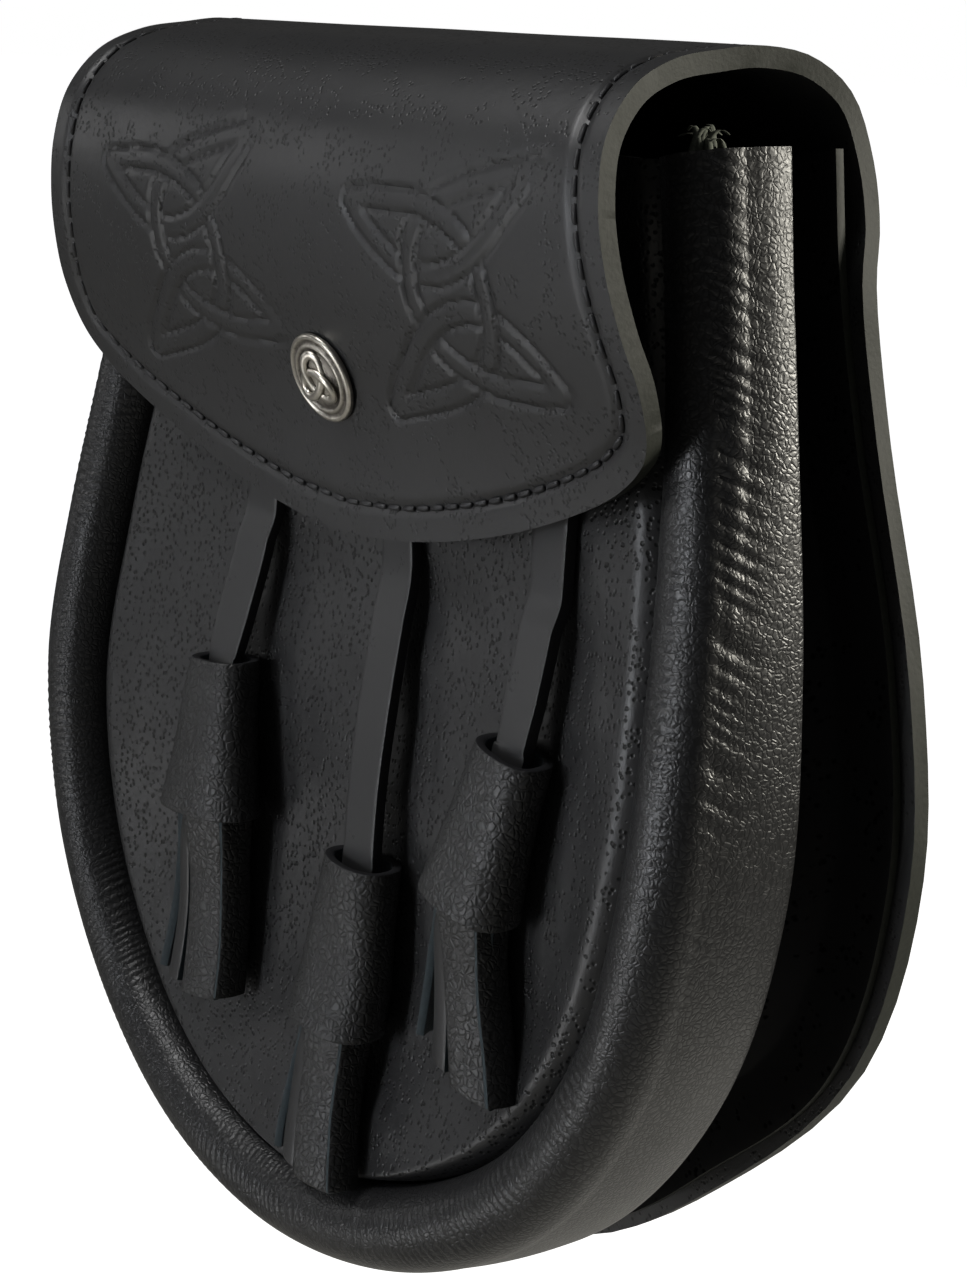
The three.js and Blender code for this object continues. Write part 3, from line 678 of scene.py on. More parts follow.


# Each hide's last argument sets the painted shade in its pits or cracks, and how dull they are
flap_hide = hide_material(
    "flap leather", (0.01, 0.0101, 0.0105), (0.017, 0.0171, 0.018), roughness=0.46, grain="pin",
    scale=1080, bump=0.1, cover=0.52, hollow_shade_and_dulling=0.42)
panel_hide = hide_material(
    "panel leather", (0.008, 0.0081, 0.0085), (0.014, 0.0141, 0.015), roughness=0.43, grain="pin",
    scale=960, bump=0.16, cover=0.68, hollow_shade_and_dulling=0.62)
roll_hide = hide_material(
    "roll leather", (0.008, 0.0081, 0.0085), (0.015, 0.0151, 0.016), roughness=0.39, grain="pebble",
    scale=1050, bump=0.07, hollow_shade_and_dulling=0.3)
gusset_hide = hide_material(
    "gusset leather", (0.003, 0.003, 0.0034), (0.006, 0.006, 0.0068), roughness=0.8, grain="pin",
    scale=700, bump=0.1, specular=0.15)
strap_hide = hide_material(
    "strap leather", (0.012, 0.0121, 0.0125), (0.02, 0.0201, 0.021), roughness=0.47, grain="pin",
    scale=1500, bump=0.05, cover=0.35, hollow_shade_and_dulling=0.3)
tassel_hide = hide_material(
    "tassel leather", (0.01, 0.0101, 0.0104), (0.018, 0.0181, 0.0188), roughness=0.46, grain="pebble",
    scale=820, bump=0.16, hollow_shade_and_dulling=0.25)
flesh_side = speckled_material(
    "suede back", (0.012, 0.018, 0.024), (0.05, 0.066, 0.08), 2200.0, 4.0, (0.8, 0.25),
    Roughness=0.95, Sheen_Weight=0.15)
suede_edge = edge_material("cut suede edge", (0.01, 0.016, 0.019), (0.035, 0.05, 0.058))
painted_edge = edge_material("painted edge", (0.007, 0.008, 0.0055), (0.02, 0.022, 0.016))
raw_edge = edge_material("raw black edge", (0.004, 0.004, 0.005), (0.014, 0.014, 0.016))
thread = speckled_material(
    "waxed thread", (0.002, 0.002, 0.003), (0.012, 0.012, 0.014), 3000.0, 2.0, (0.6, 0.1),
    Roughness=0.55)
filler = speckled_material(
    "raw filler thread", (0.025, 0.03, 0.022), (0.14, 0.15, 0.12), 2500.0, 3.0, Roughness=0.9)
stud_metal = antique_metal()
post_metal = speckled_material(
    "stud post steel", (0.25, 0.24, 0.22), (0.42, 0.41, 0.39), 1200.0, 3.0, Metallic=1.0,
    Roughness=0.42)


# Flap: one hide from the back's foot, over the arch, to the flap's tip

# Pressed knotwork: two like knots beside the stud
KNOT_CENTRES = ((-31.0, 169.0), (37.5, 168.0))
KNOT_HALF = 19.5
RIBBON_HALF = 1.75
GROOVE_DEPTH = 0.5
GROOVE_WIDTH = 0.4

# How far inside the upper ribbon's edge a lower ribbon's lines start to fade, and are gone
LAP_FADES = 0.1
LAP_ENDS = 0.45

# Only leather within this share of KNOT_HALF of a knot's centre is pressed by it
KNOT_REACH = 1.3

# Half of the knot's closed strand, from its lower left tip round to its upper right one, in shares of
# KNOT_HALF; the other half is the same turned by half a turn
KNOT_STRAND = np.array([
    (-1.0, -1.0), (-0.93, -0.88), (-0.74, -0.68), (-0.48, -0.42), (-0.17, -0.22), (0.17, -0.12),
    (0.49, -0.15), (0.8, -0.32), (1.04, -0.52), (1.1, -0.6), (1.0, -0.63), (0.78, -0.65), (0.44, -0.66),
    (0.1, -0.6), (-0.22, -0.45), (-0.4, -0.19), (-0.44, 0.11), (-0.35, 0.42), (-0.1, 0.65), (0.24, 0.81),
    (0.6, 0.91), (0.88, 0.98),
])

STITCH_INSET = 5.2
STITCH_PITCH = 3.7
STITCH_LENGTH = 2.9
STITCH_RADIUS = 0.5
SEAM_DEPTH = 0.7
SEAM_WIDTH = 0.85
SEAM_SAMPLES = 1200
SEAM_BATCH = 4000
DIMPLE_DEPTH = 0.35
DIMPLE_RADIUS = 10
HIDE_WAVE = 0.12
HIDE_WAVE_SIZE = 26
FLAP_ROUNDING = 0.7

# Stretches of the flap's grid, close together where the leather is pressed: where each ends and its
# spacing, in millimetres from the middle for the columns and in stations of FLAP_EDGE for the rows
COLUMN_STRETCHES = ((4, 0.8), (12, 1.6), (61, 0.58), (67, 1.5), (FLAP_HALF_WIDTH, 0.69))
ROW_STRETCHES = (
    (1.6, 0.075), (SPRING_PLACE, 0.2), (CROWN_PLACE, 0.28), (17.3, 0.14), (22.6, 0.07), (FLAP_END, 0.17),
)


def knot_path(samples_per_span=10):
    """The knot's closed centre line as samples in order."""
    corners = np.vstack([KNOT_STRAND, -KNOT_STRAND]) * KNOT_HALF
    looped = np.vstack([corners[-2:], corners, corners[:3]])
    places = 2 + np.arange(len(corners) * samples_per_span) / samples_per_span
    return curve_at(looped, places)


def crossings(path):
    """Pairs of sample numbers where the closed path crosses itself."""
    start, step = path, np.roll(path, -1, axis=0) - path
    found = []
    count = len(path)
    for i in range(count):
        others = np.arange(i + 2, count if i else count - 1)
        gap = start[others] - start[i]
        area = step[i, 0] * step[others, 1] - step[i, 1] * step[others, 0]
        area = np.where(np.abs(area) < 1e-12, 1e-12, area)
        mine = (gap[:, 0] * step[others, 1] - gap[:, 1] * step[others, 0]) / area
        theirs = (gap[:, 0] * step[i, 1] - gap[:, 1] * step[i, 0]) / area
        hit = (mine >= 0) & (mine < 1) & (theirs >= 0) & (theirs < 1)
        found += [(i, int(j)) for j in others[hit]]
    return found


def knot_arcs(path):
    """The path cut midway between crossings. over[a] is the arc that arc a passes over, or None."""
    pairs = crossings(path)
    visits = sorted(i for pair in pairs for i in pair)
    count = len(path)
    arcs = []
    for k, visit in enumerate(visits):
        before = visits[k - 1] - (count if k == 0 else 0)
        after = visits[(k + 1) % len(visits)] + (count if k + 1 == len(visits) else 0)
        arcs.append(path[np.arange((before + visit) // 2 - 1, (visit + after) // 2 + 2) % count])
    order = {visit: k for k, visit in enumerate(visits)}
    over = {}
    for i, j in pairs:
        upper, lower = (i, j) if order[i] % 2 == 0 else (j, i)
        over[order[upper]] = order[lower]
    return arcs, over


def knot_press(x, height):
    """Depth of the pressed lines at places on the flap: each ribbon's two edges, woven."""
    pressed = np.zeros(len(x))
    arcs, over = knot_arcs(knot_path())
    for centre in KNOT_CENTRES:
        local = np.column_stack([x - centre[0], height - centre[1]])
        near = np.flatnonzero(np.abs(local).max(axis=1) < KNOT_REACH * KNOT_HALF)
        away = np.array([
            np.linalg.norm(local[near, None] - arc[None], axis=2).min(axis=1) for arc in arcs])
        for a, distance in enumerate(away):
            line = np.exp(-(((distance - RIBBON_HALF) / GROOVE_WIDTH) ** 2))
            for b, other in enumerate(away):
                if b != a and over.get(a) != b:
                    line *= smoothstep(other, RIBBON_HALF - LAP_ENDS, RIBBON_HALF - LAP_FADES)
            pressed[near] = np.maximum(pressed[near], line)
    return pressed * GROOVE_DEPTH


def spaced(start, stretches):
    """Places from the start outwards, in stretches of (end, spacing)."""
    places = [start]
    for end, spacing in stretches:
        count = max(1, round((end - places[-1]) / spacing))
        places += list(np.linspace(places[-1], end, count + 1)[1:])
    return np.array(places)


class FlapSheet:
    """The hide laid flat: across it is X, along it is the length of its middle line."""

    def __init__(self):
        self.places = np.linspace(1, FLAP_END, 6000)
        self.edge = curve_at(FLAP_EDGE, self.places)
        self.length = run_along(self.edge[:, 1:])

    def at(self, x, length):
        """Points of the outer face and the directions out of it and along it."""
        depth = np.interp(length, self.length, self.edge[:, 1])
        height = np.interp(length, self.length, self.edge[:, 2])
        ahead = np.clip(length + 0.2, 0, self.length[-1])
        behind = np.clip(length - 0.2, 0, self.length[-1])
        run = unit(np.column_stack([
            np.interp(ahead, self.length, self.edge[:, k]) - np.interp(behind, self.length, self.edge[:, k])
            for k in (1, 2)]))
        out = np.column_stack([np.zeros(len(run)), -run[:, 1], run[:, 0]])
        along = np.column_stack([np.zeros(len(run)), run])
        return np.column_stack([x, depth, height]), out, along

    def length_at(self, place):
        return np.interp(place, self.places, self.length)

    def stitch_line(self):
        """The seam inside the right edge, laid flat, from the back's foot to the flap's tip."""
        flat = np.column_stack([np.maximum(self.edge[:, 0], 0), self.length])
        outline = np.vstack([flat[::-1] * (-1, 1), flat])
        run = unit(np.gradient(outline, axis=0) + 1e-12)
        inward = np.column_stack([-run[:, 1], run[:, 0]])
        line = (outline + inward * STITCH_INSET)[len(flat):]
        return line[line[:, 0] > 0]


def flap_leather(sheet):
    half = spaced(0.0, COLUMN_STRETCHES) / FLAP_HALF_WIDTH
    shares = np.concatenate([half[::-1], -half[1:]])
    rows = spaced(1.0, ROW_STRETCHES)
    edge = curve_at(FLAP_EDGE, rows)
    width = np.maximum(edge[:, 0], 0)
    width[[0, -1]] = 0
    x = shares[None] * width[:, None]
    length = np.repeat(sheet.length_at(rows)[:, None], len(shares), axis=1)
    points, out, _ = sheet.at(x.ravel(), length.ravel())
    piece, order = flat_grid("flap_leather", *x.shape)
    set_coordinates(piece, mesh_place(points[order]))
    wear(piece, flap_hide, painted_edge, flap_hide)
    thicken(piece, BACK_LEATHER)

    # Pressed work goes on the outer face alone, which keeps the grid's own vertices
    front = length.ravel() > sheet.length_at(CROWN_PLACE)
    press = np.zeros(len(points))
    press[front] = knot_press(points[front, 0], points[front, 2])
    press += seam_press(sheet, x.ravel(), length.ravel())
    stud = np.hypot(points[:, 0], points[:, 2] - STUD_HEIGHT)
    press += np.where(front, DIMPLE_DEPTH * np.exp(-((stud / DIMPLE_RADIUS) ** 2)), 0)
    press += HIDE_WAVE * soft_noise(x.ravel() / HIDE_WAVE_SIZE, length.ravel() / HIDE_WAVE_SIZE)
    places = coordinates(piece)
    shift = -out * press[:, None] * MM
    shift[:, 1] *= -1
    places[: len(order)] += shift[order]
    set_coordinates(piece, places)
    merge(piece, POLE_MERGE)
    round_edges(piece, FLAP_ROUNDING, 3)
    smooth(piece)
    keep(piece, "flap_leather", "back_and_flap")


def soft_noise(u, v, waves=14, seed=3):
    """A smooth random surface about -1 to 1."""
    source = np.random.default_rng(seed)
    total = 0
    for _ in range(waves):
        turn, phase, rate = source.uniform(0, 2 * np.pi, 2).tolist() + [source.uniform(0.5, 2.2)]
        total = total + np.sin(rate * (u * math.cos(turn) + v * math.sin(turn)) * 2 + phase) / rate
    return total / math.sqrt(waves)


def seam_press(sheet, x, length):
    """A shallow channel under the stitches."""
    line = sheet.stitch_line()
    run = run_along(line)
    line = line_at(line, run, np.linspace(0, run[-1], SEAM_SAMPLES))
    places = np.column_stack([np.abs(x), length])
    nearest = np.concatenate([
        np.linalg.norm(part[:, None] - line[None], axis=2).min(axis=1)
        for part in np.array_split(places, len(places) // SEAM_BATCH + 1)])
    return SEAM_DEPTH * np.exp(-((nearest / SEAM_WIDTH) ** 2))


def flap_stitches(sheet):
    """Black stitches just inside the whole edge: flap, arch and back."""
    line = sheet.stitch_line()
    length = run_along(line)
    count = int(length[-1] // STITCH_PITCH)
    middles = (np.arange(count) + 0.5) * length[-1] / count
    flat = line_at(line, length, middles)
    run = unit(line_at(line, length, middles + 0.5) - flat)
    points, out, along = sheet.at(flat[:, 0], flat[:, 1])
    points -= out * (SEAM_DEPTH - STITCH_RADIUS / 2)
    way = np.column_stack([run[:, 0], along[:, 1] * run[:, 1], along[:, 2] * run[:, 1]])
    points = np.vstack([points, points * (-1, 1, 1)])
    way = np.vstack([way, way * (-1, 1, 1)])
    out = np.vstack([out, out])
    flip = np.array([1, -1, 1])
    piece = repeated(
        "flap_stitches", capsule(STITCH_LENGTH * MM, STITCH_RADIUS * MM),
        mesh_place(points), way * flip, out * flip)
    wear(piece, thread)
    keep(piece, "flap_leather")


# Front panel

PANEL_TUCK = 4.6
TUCK_WIDTH = 5.5
TUCK_REACH = 0.33
TUCK_REACH_WIDTH = 2.6
PANEL_WAVE = 0.5
PANEL_WAVE_SIZE = 15
PANEL_ROWS = 145
PANEL_FOOT_ROWS = 25
PANEL_FOOT_END = 0.6
PANEL_COLUMNS = 91
COLUMN_CROWDING = 1.35

# The panel's sag, in shares of the pouch's height: where it has come in, and where the slack is taken up
SAG_COMES = (0.06, 0.3)
SLACK_GOES = (0.6, 0.76)
SLACK_TAKEN = 0.75


def panel_rim(station):
    at = RollAt(station)
    inset = ROLL_RADIUS + GAP
    return np.abs(at.centre[:, 0] - at.out[:, 0] * inset), at.centre[:, 2] - at.out[:, 1] * inset


def panel_depth(station, across):
    at = RollAt(station)
    slack = 1 - SLACK_TAKEN * smoothstep(at.height, *SLACK_GOES)
    rise = smoothstep(at.height, *SAG_COMES)
    return at.depth + PANEL_STEP - PANEL_SAG * slack * rise * (1 - across * across)


RIM_STATIONS = np.linspace(0, LAST_STATION, 800)
RIM_WIDTHS, RIM_HEIGHTS = panel_rim(RIM_STATIONS)


def face_depth(x, height):
    """Depth of the panel's face at places on it."""
    station = np.interp(height, RIM_HEIGHTS, RIM_STATIONS)
    reach = np.maximum(np.interp(height, RIM_HEIGHTS, RIM_WIDTHS), 1)
    shape = np.shape(station)
    depth = panel_depth(np.ravel(station), np.ravel(np.clip(x / reach, -1, 1)))
    return depth.reshape(shape)


def front_panel_leather():
    stations = np.concatenate([
        np.linspace(0, PANEL_FOOT_END, PANEL_FOOT_ROWS, endpoint=False),
        np.linspace(PANEL_FOOT_END, LAST_STATION, PANEL_ROWS - PANEL_FOOT_ROWS)])
    across = np.linspace(-1, 1, PANEL_COLUMNS)
    across = np.sign(across) * (1 - (1 - np.abs(across)) ** COLUMN_CROWDING)
    rim, height = panel_rim(stations)
    rim[0] = 0
    x = across[None] * rim[:, None]
    depth = np.stack([panel_depth(stations, np.full(len(stations), a)) for a in across], axis=1)
    from_rim = rim[:, None] * (1 - np.abs(across))[None]
    tuck = PANEL_TUCK * np.clip(1 - from_rim / TUCK_WIDTH, 0, 1) ** 2
    reach = TUCK_REACH * np.clip(1 - from_rim / TUCK_REACH_WIDTH, 0, 1)
    wave = PANEL_WAVE * soft_noise(x / PANEL_WAVE_SIZE, height[:, None] / PANEL_WAVE_SIZE, seed=5)
    depth = depth - tuck - np.abs(wave) * smoothstep(from_rim, 2, 12)
    x = x + np.sign(x) * reach
    points = np.stack([x, depth, np.repeat(height[:, None], len(across), axis=1)], axis=-1)
    piece = grid_piece("front_panel_leather", points)
    wear(piece, panel_hide, raw_edge, flesh_side)
    thicken(piece, PANEL_LEATHER)
    merge(piece, POLE_MERGE)
    smooth(piece)
    keep(piece, "panel_leather", "front_panel")


# Padded roll and side band

PLEAT_PITCH = 3.1
PLEAT_DEPTH = 0.7
PLEAT_SLANT = 0.55
CREASE_DEPTH = 0.3
BAND_BULGE = 0.4
WRINKLE_DEPTH = 0.19
WRINKLE_RATE = 2.1
WRINKLE_SLANT = 2.6
ROLL_ROWS = 1280
CREASE_WIDTH = 1.6
CREASE_WANDER = 0.5
PLEAT_KNOTS = 110
PLEAT_KNOTS_END = 700
TRAIL_KNOTS = 160

PLEAT_FORWARD = 1.4
WRINKLE_FADES = (4, 9)

# Columns of the roll's section, and the angle in degrees at which it comes out from behind the panel
BAND_COLUMNS = 15
EDGE_COLUMNS = 5
INSIDE_COLUMNS = 5
INSIDE_FROM = 0.12
EDGE_BULGE = 0.5
EDGE_SETBACK = 0.25
HIDDEN_COLUMNS = 14
SHOWN_COLUMNS = 35
COMES_OUT = 230

# The gathered crease runs round the roll's outer front: its place in the roll's section, in degrees
# from its outermost line towards the front, and its share of the full depth, against the height
CREASE_ROUTE = {
    "height": (0.0, 0.42, 0.58, 0.8, 1.0), "angle": (0, 4, 16, 36, 46), "depth": (0, 0.15, 0.9, 1, 1),
}


def pleats(length):
    """Irregular gathers along the seam, from 0 on a crest to -1 in a fold."""
    knots = np.linspace(0, PLEAT_KNOTS_END, PLEAT_KNOTS)
    drift = np.interp(length, knots, rng.uniform(-0.8, 0.8, PLEAT_KNOTS))
    strength = np.interp(length, knots, rng.uniform(0.35, 1, PLEAT_KNOTS))
    wave = np.abs(np.sin(np.pi * (length / PLEAT_PITCH + drift)))
    return strength * (wave ** 0.8 - 1)


def cross_wrinkles(length, angle):
    """Short wrinkles across the roll where it bends."""
    wander = 1.6 * np.sin(length * 0.31) + np.sin(angle * 2 + length * 0.1)
    fine = np.sin(length * WRINKLE_RATE + WRINKLE_SLANT * angle + wander)
    broad = soft_noise(length / 9, angle * 1.3, seed=9)
    return np.abs(fine) ** 0.7 * np.clip(0.6 + 0.6 * broad, 0, None)


def roll_leather():
    stations, length = even_stations(ROLL_ROWS)
    inner = ROLL_RADIUS - BAND_LEATHER
    seam = math.acos(inner / ROLL_RADIUS)
    knots = np.linspace(0, length[-1], TRAIL_KNOTS)
    trail = np.interp(length, knots, rng.uniform(3, 6.5, TRAIL_KNOTS))[:, None]

    def section(at):
        depth, band = at.depth[:, None], at.band_depth[:, None]
        face = (np.linspace(0, 1, BAND_COLUMNS, endpoint=False) ** 1.25)[None]
        edge = np.linspace(0, math.pi, EDGE_COLUMNS)[None]
        half = BAND_LEATHER / 2
        inside = np.linspace(INSIDE_FROM, 1, INSIDE_COLUMNS)[None]
        comes_out = math.radians(COMES_OUT)
        hidden = np.linspace(seam, comes_out, HIDDEN_COLUMNS + 1)[1:]
        shown = np.linspace(comes_out, 2 * math.pi, SHOWN_COLUMNS + 1)[1:]
        angle = -np.concatenate([hidden, shown])[None]
        reach = np.concatenate([
            ROLL_RADIUS + BAND_FLARE * face + BAND_BULGE * np.sin(np.pi * face),
            ROLL_RADIUS + BAND_FLARE - half + half * np.cos(edge),
            inner + BAND_FLARE * (1 - inside), ROLL_RADIUS * np.cos(angle)], axis=1) + 0 * depth
        back = np.concatenate([
            depth + (band - depth) * face,
            band - EDGE_BULGE * half * np.sin(edge) + EDGE_SETBACK,
            band + (depth - ROLL_RADIUS * math.sin(seam) - band) * inside,
            depth + ROLL_RADIUS * np.sin(angle)], axis=1)

        # Runs along the section: negative on the band, then forwards round the roll
        on_roll = back > depth
        turn = np.where(on_roll, np.arctan2(back - depth, reach), 0)
        along = np.where(on_roll, ROLL_RADIUS * turn, back - depth)
        height = at.height[:, None]
        place = ROLL_RADIUS * np.radians(np.interp(height, CREASE_ROUTE["height"], CREASE_ROUTE["angle"]))
        strength = np.interp(height, CREASE_ROUTE["height"], CREASE_ROUTE["depth"])
        behind = place - along + CREASE_WANDER * soft_noise(length[:, None] / 14, 0, seed=12)

        # Nothing is pressed on the inner side of the roll or of the band
        outer = np.where(
            on_roll, smoothstep(reach, ROLL_RADIUS - 9, ROLL_RADIUS - 6),
            smoothstep(reach, ROLL_RADIUS - 1, ROLL_RADIUS))
        gather = pleats(length[:, None] + PLEAT_SLANT * behind)
        fade = np.where(
            behind > 0, np.exp(-((behind / trail) ** 2)), np.exp(-np.abs(behind) / PLEAT_FORWARD))
        crease = np.exp(-((behind / CREASE_WIDTH) ** 2))
        press = outer * strength * (CREASE_DEPTH * crease - PLEAT_DEPTH * gather * fade)
        round_part = smoothstep(along, *WRINKLE_FADES) * on_roll
        press = press + round_part * WRINKLE_DEPTH * cross_wrinkles(length[:, None], turn)
        return reach - press * np.cos(turn), back - press * np.sin(turn)

    points = sweep_points(stations, section)
    piece = grid_piece("padded_roll_leather", points, closed=True)
    wear(piece, roll_hide)
    close_ends(piece)
    smooth(piece, 55)
    keep(piece, "roll_leather", "padded_roll")


FIBRES_PER_END = 11
FIBRE_RADIUS = 0.62
FIBRE_SPREAD = 3.6


def fibre(at):
    """One raw end of the filler cord, that rises out of the roll's cut end and curls over."""
    spot = rng.uniform(-FIBRE_SPREAD, FIBRE_SPREAD, 2)
    turn = rng.uniform(0, 2 * np.pi)
    reach, tall = rng.uniform(1.5, 4.5), rng.uniform(1.8, 4.2)
    share = np.linspace(0, 1, 13)[:, None]
    radius = FIBRE_RADIUS * (1 - 0.7 * share ** 2)
    angle = np.linspace(0, 2 * np.pi, 9)[None]
    bend = reach * share ** 1.4
    piece = grid_piece("fibre", np.stack([
        at.centre[0, 0] + spot[0] + bend * math.cos(turn) + radius * np.cos(angle),
        at.centre[0, 1] + spot[1] + bend * math.sin(turn) + radius * np.sin(angle),
        at.centre[0, 2] - 0.1 + tall * np.sin(share * 2.2) + 0 * angle,
    ], axis=-1), closed=True)
    close_ends(piece)
    return piece


def roll_filler():
    """Raw ends of the filler cord in the roll's two cut ends."""
    parts = [
        fibre(RollAt([side * LAST_STATION])) for side in (-1, 1) for _ in range(FIBRES_PER_END)]
    piece = join("roll_filler", parts)
    wear(piece, filler)
    smooth(piece, 60)
    keep(piece, "roll_leather")


# Gusset

FOLD_EASE = 1.5
FOLD_HALF = 1.6


def gusset_leather():
    stations, length = even_stations(360)
    half = GUSSET_LEATHER / 2
    lap_reach = ROLL_RADIUS - BAND_LEATHER - GAP - half
    flange = BACK_LEATHER + GAP + half

    def section(at):
        band = at.band_depth
        lap_depth = np.minimum(band + GUSSET_LAP, at.depth - ROLL_RADIUS - GAP)
        edge = at.back_reach - FLANGE_INSET
        middle = (band + flange) / 2
        corners = [
            (lap_reach, lap_depth),
            (lap_reach + BAND_FLARE / 2, band),
            (lap_reach - 2.5, band - 2.2),
            (FOLD_EASE - GUSSET_FOLD, middle + FOLD_HALF),
            (-GUSSET_FOLD, middle),
            (FOLD_EASE - GUSSET_FOLD, middle - FOLD_HALF),
            (edge - FLANGE_WIDTH, flange + 0.6),
            (edge - FLANGE_WIDTH + 2, flange),
            (edge, flange),
        ]
        corners = np.array([
            [np.broadcast_to(value, band.shape) for value in corner] for corner in corners])
        corners = corners.transpose(2, 0, 1)
        rows = np.array([curve_at(row, np.linspace(0, len(row) - 1, 41)) for row in corners])
        return rows[..., 0], rows[..., 1]

    points = sweep_points(stations, section)
    piece = grid_piece("gusset_leather", points)
    wear(piece, gusset_hide, painted_edge, gusset_hide)
    thicken(piece, GUSSET_LEATHER, offset=0)
    round_edges(piece, EDGE_ROUNDING)
    smooth(piece)
    keep(piece, "gusset_leather", "gusset")


# Tassels

OVAL_POWER = 0.8
COLLAR_SWELL = 0.25
COLLAR_WAIST = 0.25

# A strap's end is drawn in to TUCKED_SHARE of its collar's inside, from STRAP_NARROWS of its run on,
# and it bends out from the panel over STRAP_BEND of its free run
TUCKED_SHARE = 0.7
STRAP_NARROWS = 0.8
STRAP_BEND = 0.25
STRAP_ROUNDING = 0.3

# Strips start STRIP_TUCK up in the collar, on an oval of STRIP_RING shares of its inside; the others
# are how much they narrow, cup, ripple, hang back in and vary in width
STRIP_TUCK = 4
STRIP_RING = (0.72, 0.62)
STRIP_TAPER = 0.07
STRIP_CURL = 0.5
STRIP_RIPPLE = 0.35
STRIP_SETTLES = 0.5
STRIP_RAG = 0.03
STRIP_ROUNDING = 0.25


def collar_axis(tassel):
    size = np.array([ROLL_HALF_WIDTH, BODY_HEIGHT])
    return np.array(tassel["top"]) * size, np.array(tassel["bottom"]) * size


def tassel_place(tassel, along, side, lift):
    """Places on a tassel: along is 0 at the collar's top and 1 at its bottom, and on down the fringe."""
    top, bottom = collar_axis(tassel)
    run = bottom - top
    along, side, lift = np.broadcast_arrays(along, side, lift)
    below = np.maximum(along - 1, 0)
    axis = top + run * (along - below)[..., None]
    axis[..., 1] -= below * np.linalg.norm(run)
    across = np.array([-run[1], run[0]]) / np.linalg.norm(run)
    x = axis[..., 0] + across[0] * side
    height = axis[..., 1] + across[1] * side
    depth = np.maximum(face_depth(axis[..., 0], axis[..., 1]) + lift, face_depth(x, height) + GAP)
    return np.stack([x, depth, height], axis=-1)


def collar_length(tassel):
    top, bottom = collar_axis(tassel)
    return np.linalg.norm(bottom - top)


def collar_size(tassel, along):
    share = np.clip(along, 0, 1)
    width = COLLAR_WIDTH * (tassel["widths"][0] + (tassel["widths"][1] - tassel["widths"][0]) * share)
    depth = COLLAR_TOP_DEPTH + (COLLAR_BOTTOM_DEPTH - COLLAR_TOP_DEPTH) * share
    return width / 2, depth / 2


def softened(value):
    return np.sign(value) * np.abs(value) ** OVAL_POWER


def oval(angle):
    """A softened oval of unit half width and half depth."""
    return softened(np.cos(angle)), softened(np.sin(angle))


def tassel_collar(tassel):
    along = np.linspace(0, 1, 33)[:, None]
    angle = np.linspace(-np.pi / 2, 1.5 * np.pi, 73)[None]
    width, depth = collar_size(tassel, along)
    side, front = oval(angle)
    swell = COLLAR_SWELL * soft_noise(
        along * 2.5 + 0 * angle, 1.3 * side + 0 * along, seed=len(tassel["side"]))
    swell = swell - COLLAR_WAIST * np.sin(np.pi * along)
    points = tassel_place(
        tassel, along + 0 * angle, (width + swell) * side, GAP + depth + (depth + swell) * front)
    piece = grid_piece("tassel_collar_" + tassel["side"] + "_leather", points, closed=True)
    wear(piece, tassel_hide, raw_edge, flesh_side)
    face_out(piece)
    thicken(piece, COLLAR_LEATHER)
    round_edges(piece, EDGE_ROUNDING)
    smooth(piece)
    keep(piece, "tassel_leather", "tassel_collar_" + tassel["side"])


def tassel_strap(tassel):
    length = collar_length(tassel)
    inside = GAP + collar_size(tassel, 0)[1] - STRAP_LEATHER / 2
    tucked = (tassel["widths"][0] * COLLAR_WIDTH - 2 * COLLAR_LEATHER) * TUCKED_SHARE
    top, _ = collar_axis(tassel)
    share = np.linspace(0, 1, 60, endpoint=False)[:, None]
    edge = np.linspace(-1, 1, 9)[None]
    start = np.array([tassel["strap_x"] * ROLL_HALF_WIDTH, STRAP_TOP])
    x = start[0] + (top[0] - start[0]) * share
    height = start[1] + (top[1] - start[1]) * share
    leaves = (STRAP_TOP - crown + FLAP_DROP) / (STRAP_TOP - top[1])
    free_run = np.maximum((share - leaves) / (1 - leaves), 0)
    lift = GAP + (inside - GAP) * free_run ** STRAP_RISE * smoothstep(free_run, 0, STRAP_BEND)
    half = (STRAP_WIDTH + (tucked - STRAP_WIDTH) * smoothstep(share, STRAP_NARROWS, 1)) / 2
    side = x + edge * half
    free = np.stack([
        side, face_depth(side, height + 0 * edge) + lift + STRAP_LEATHER, height + 0 * edge], axis=-1)
    along = np.linspace(0, STRAP_TUCK / length, 6)[:, None]
    tuck = tassel_place(tassel, along, edge * tucked / 2, inside + STRAP_LEATHER)
    points = np.concatenate([free, tuck])
    piece = grid_piece("tassel_strap_" + tassel["side"] + "_leather", points)
    wear(piece, strap_hide, raw_edge, flesh_side)
    face_towards(piece, (0, -1, 0))
    thicken(piece, STRAP_LEATHER)
    round_edges(piece, STRAP_ROUNDING)
    smooth(piece)
    keep(piece, "tassel_leather", "tassel_strap_" + tassel["side"])


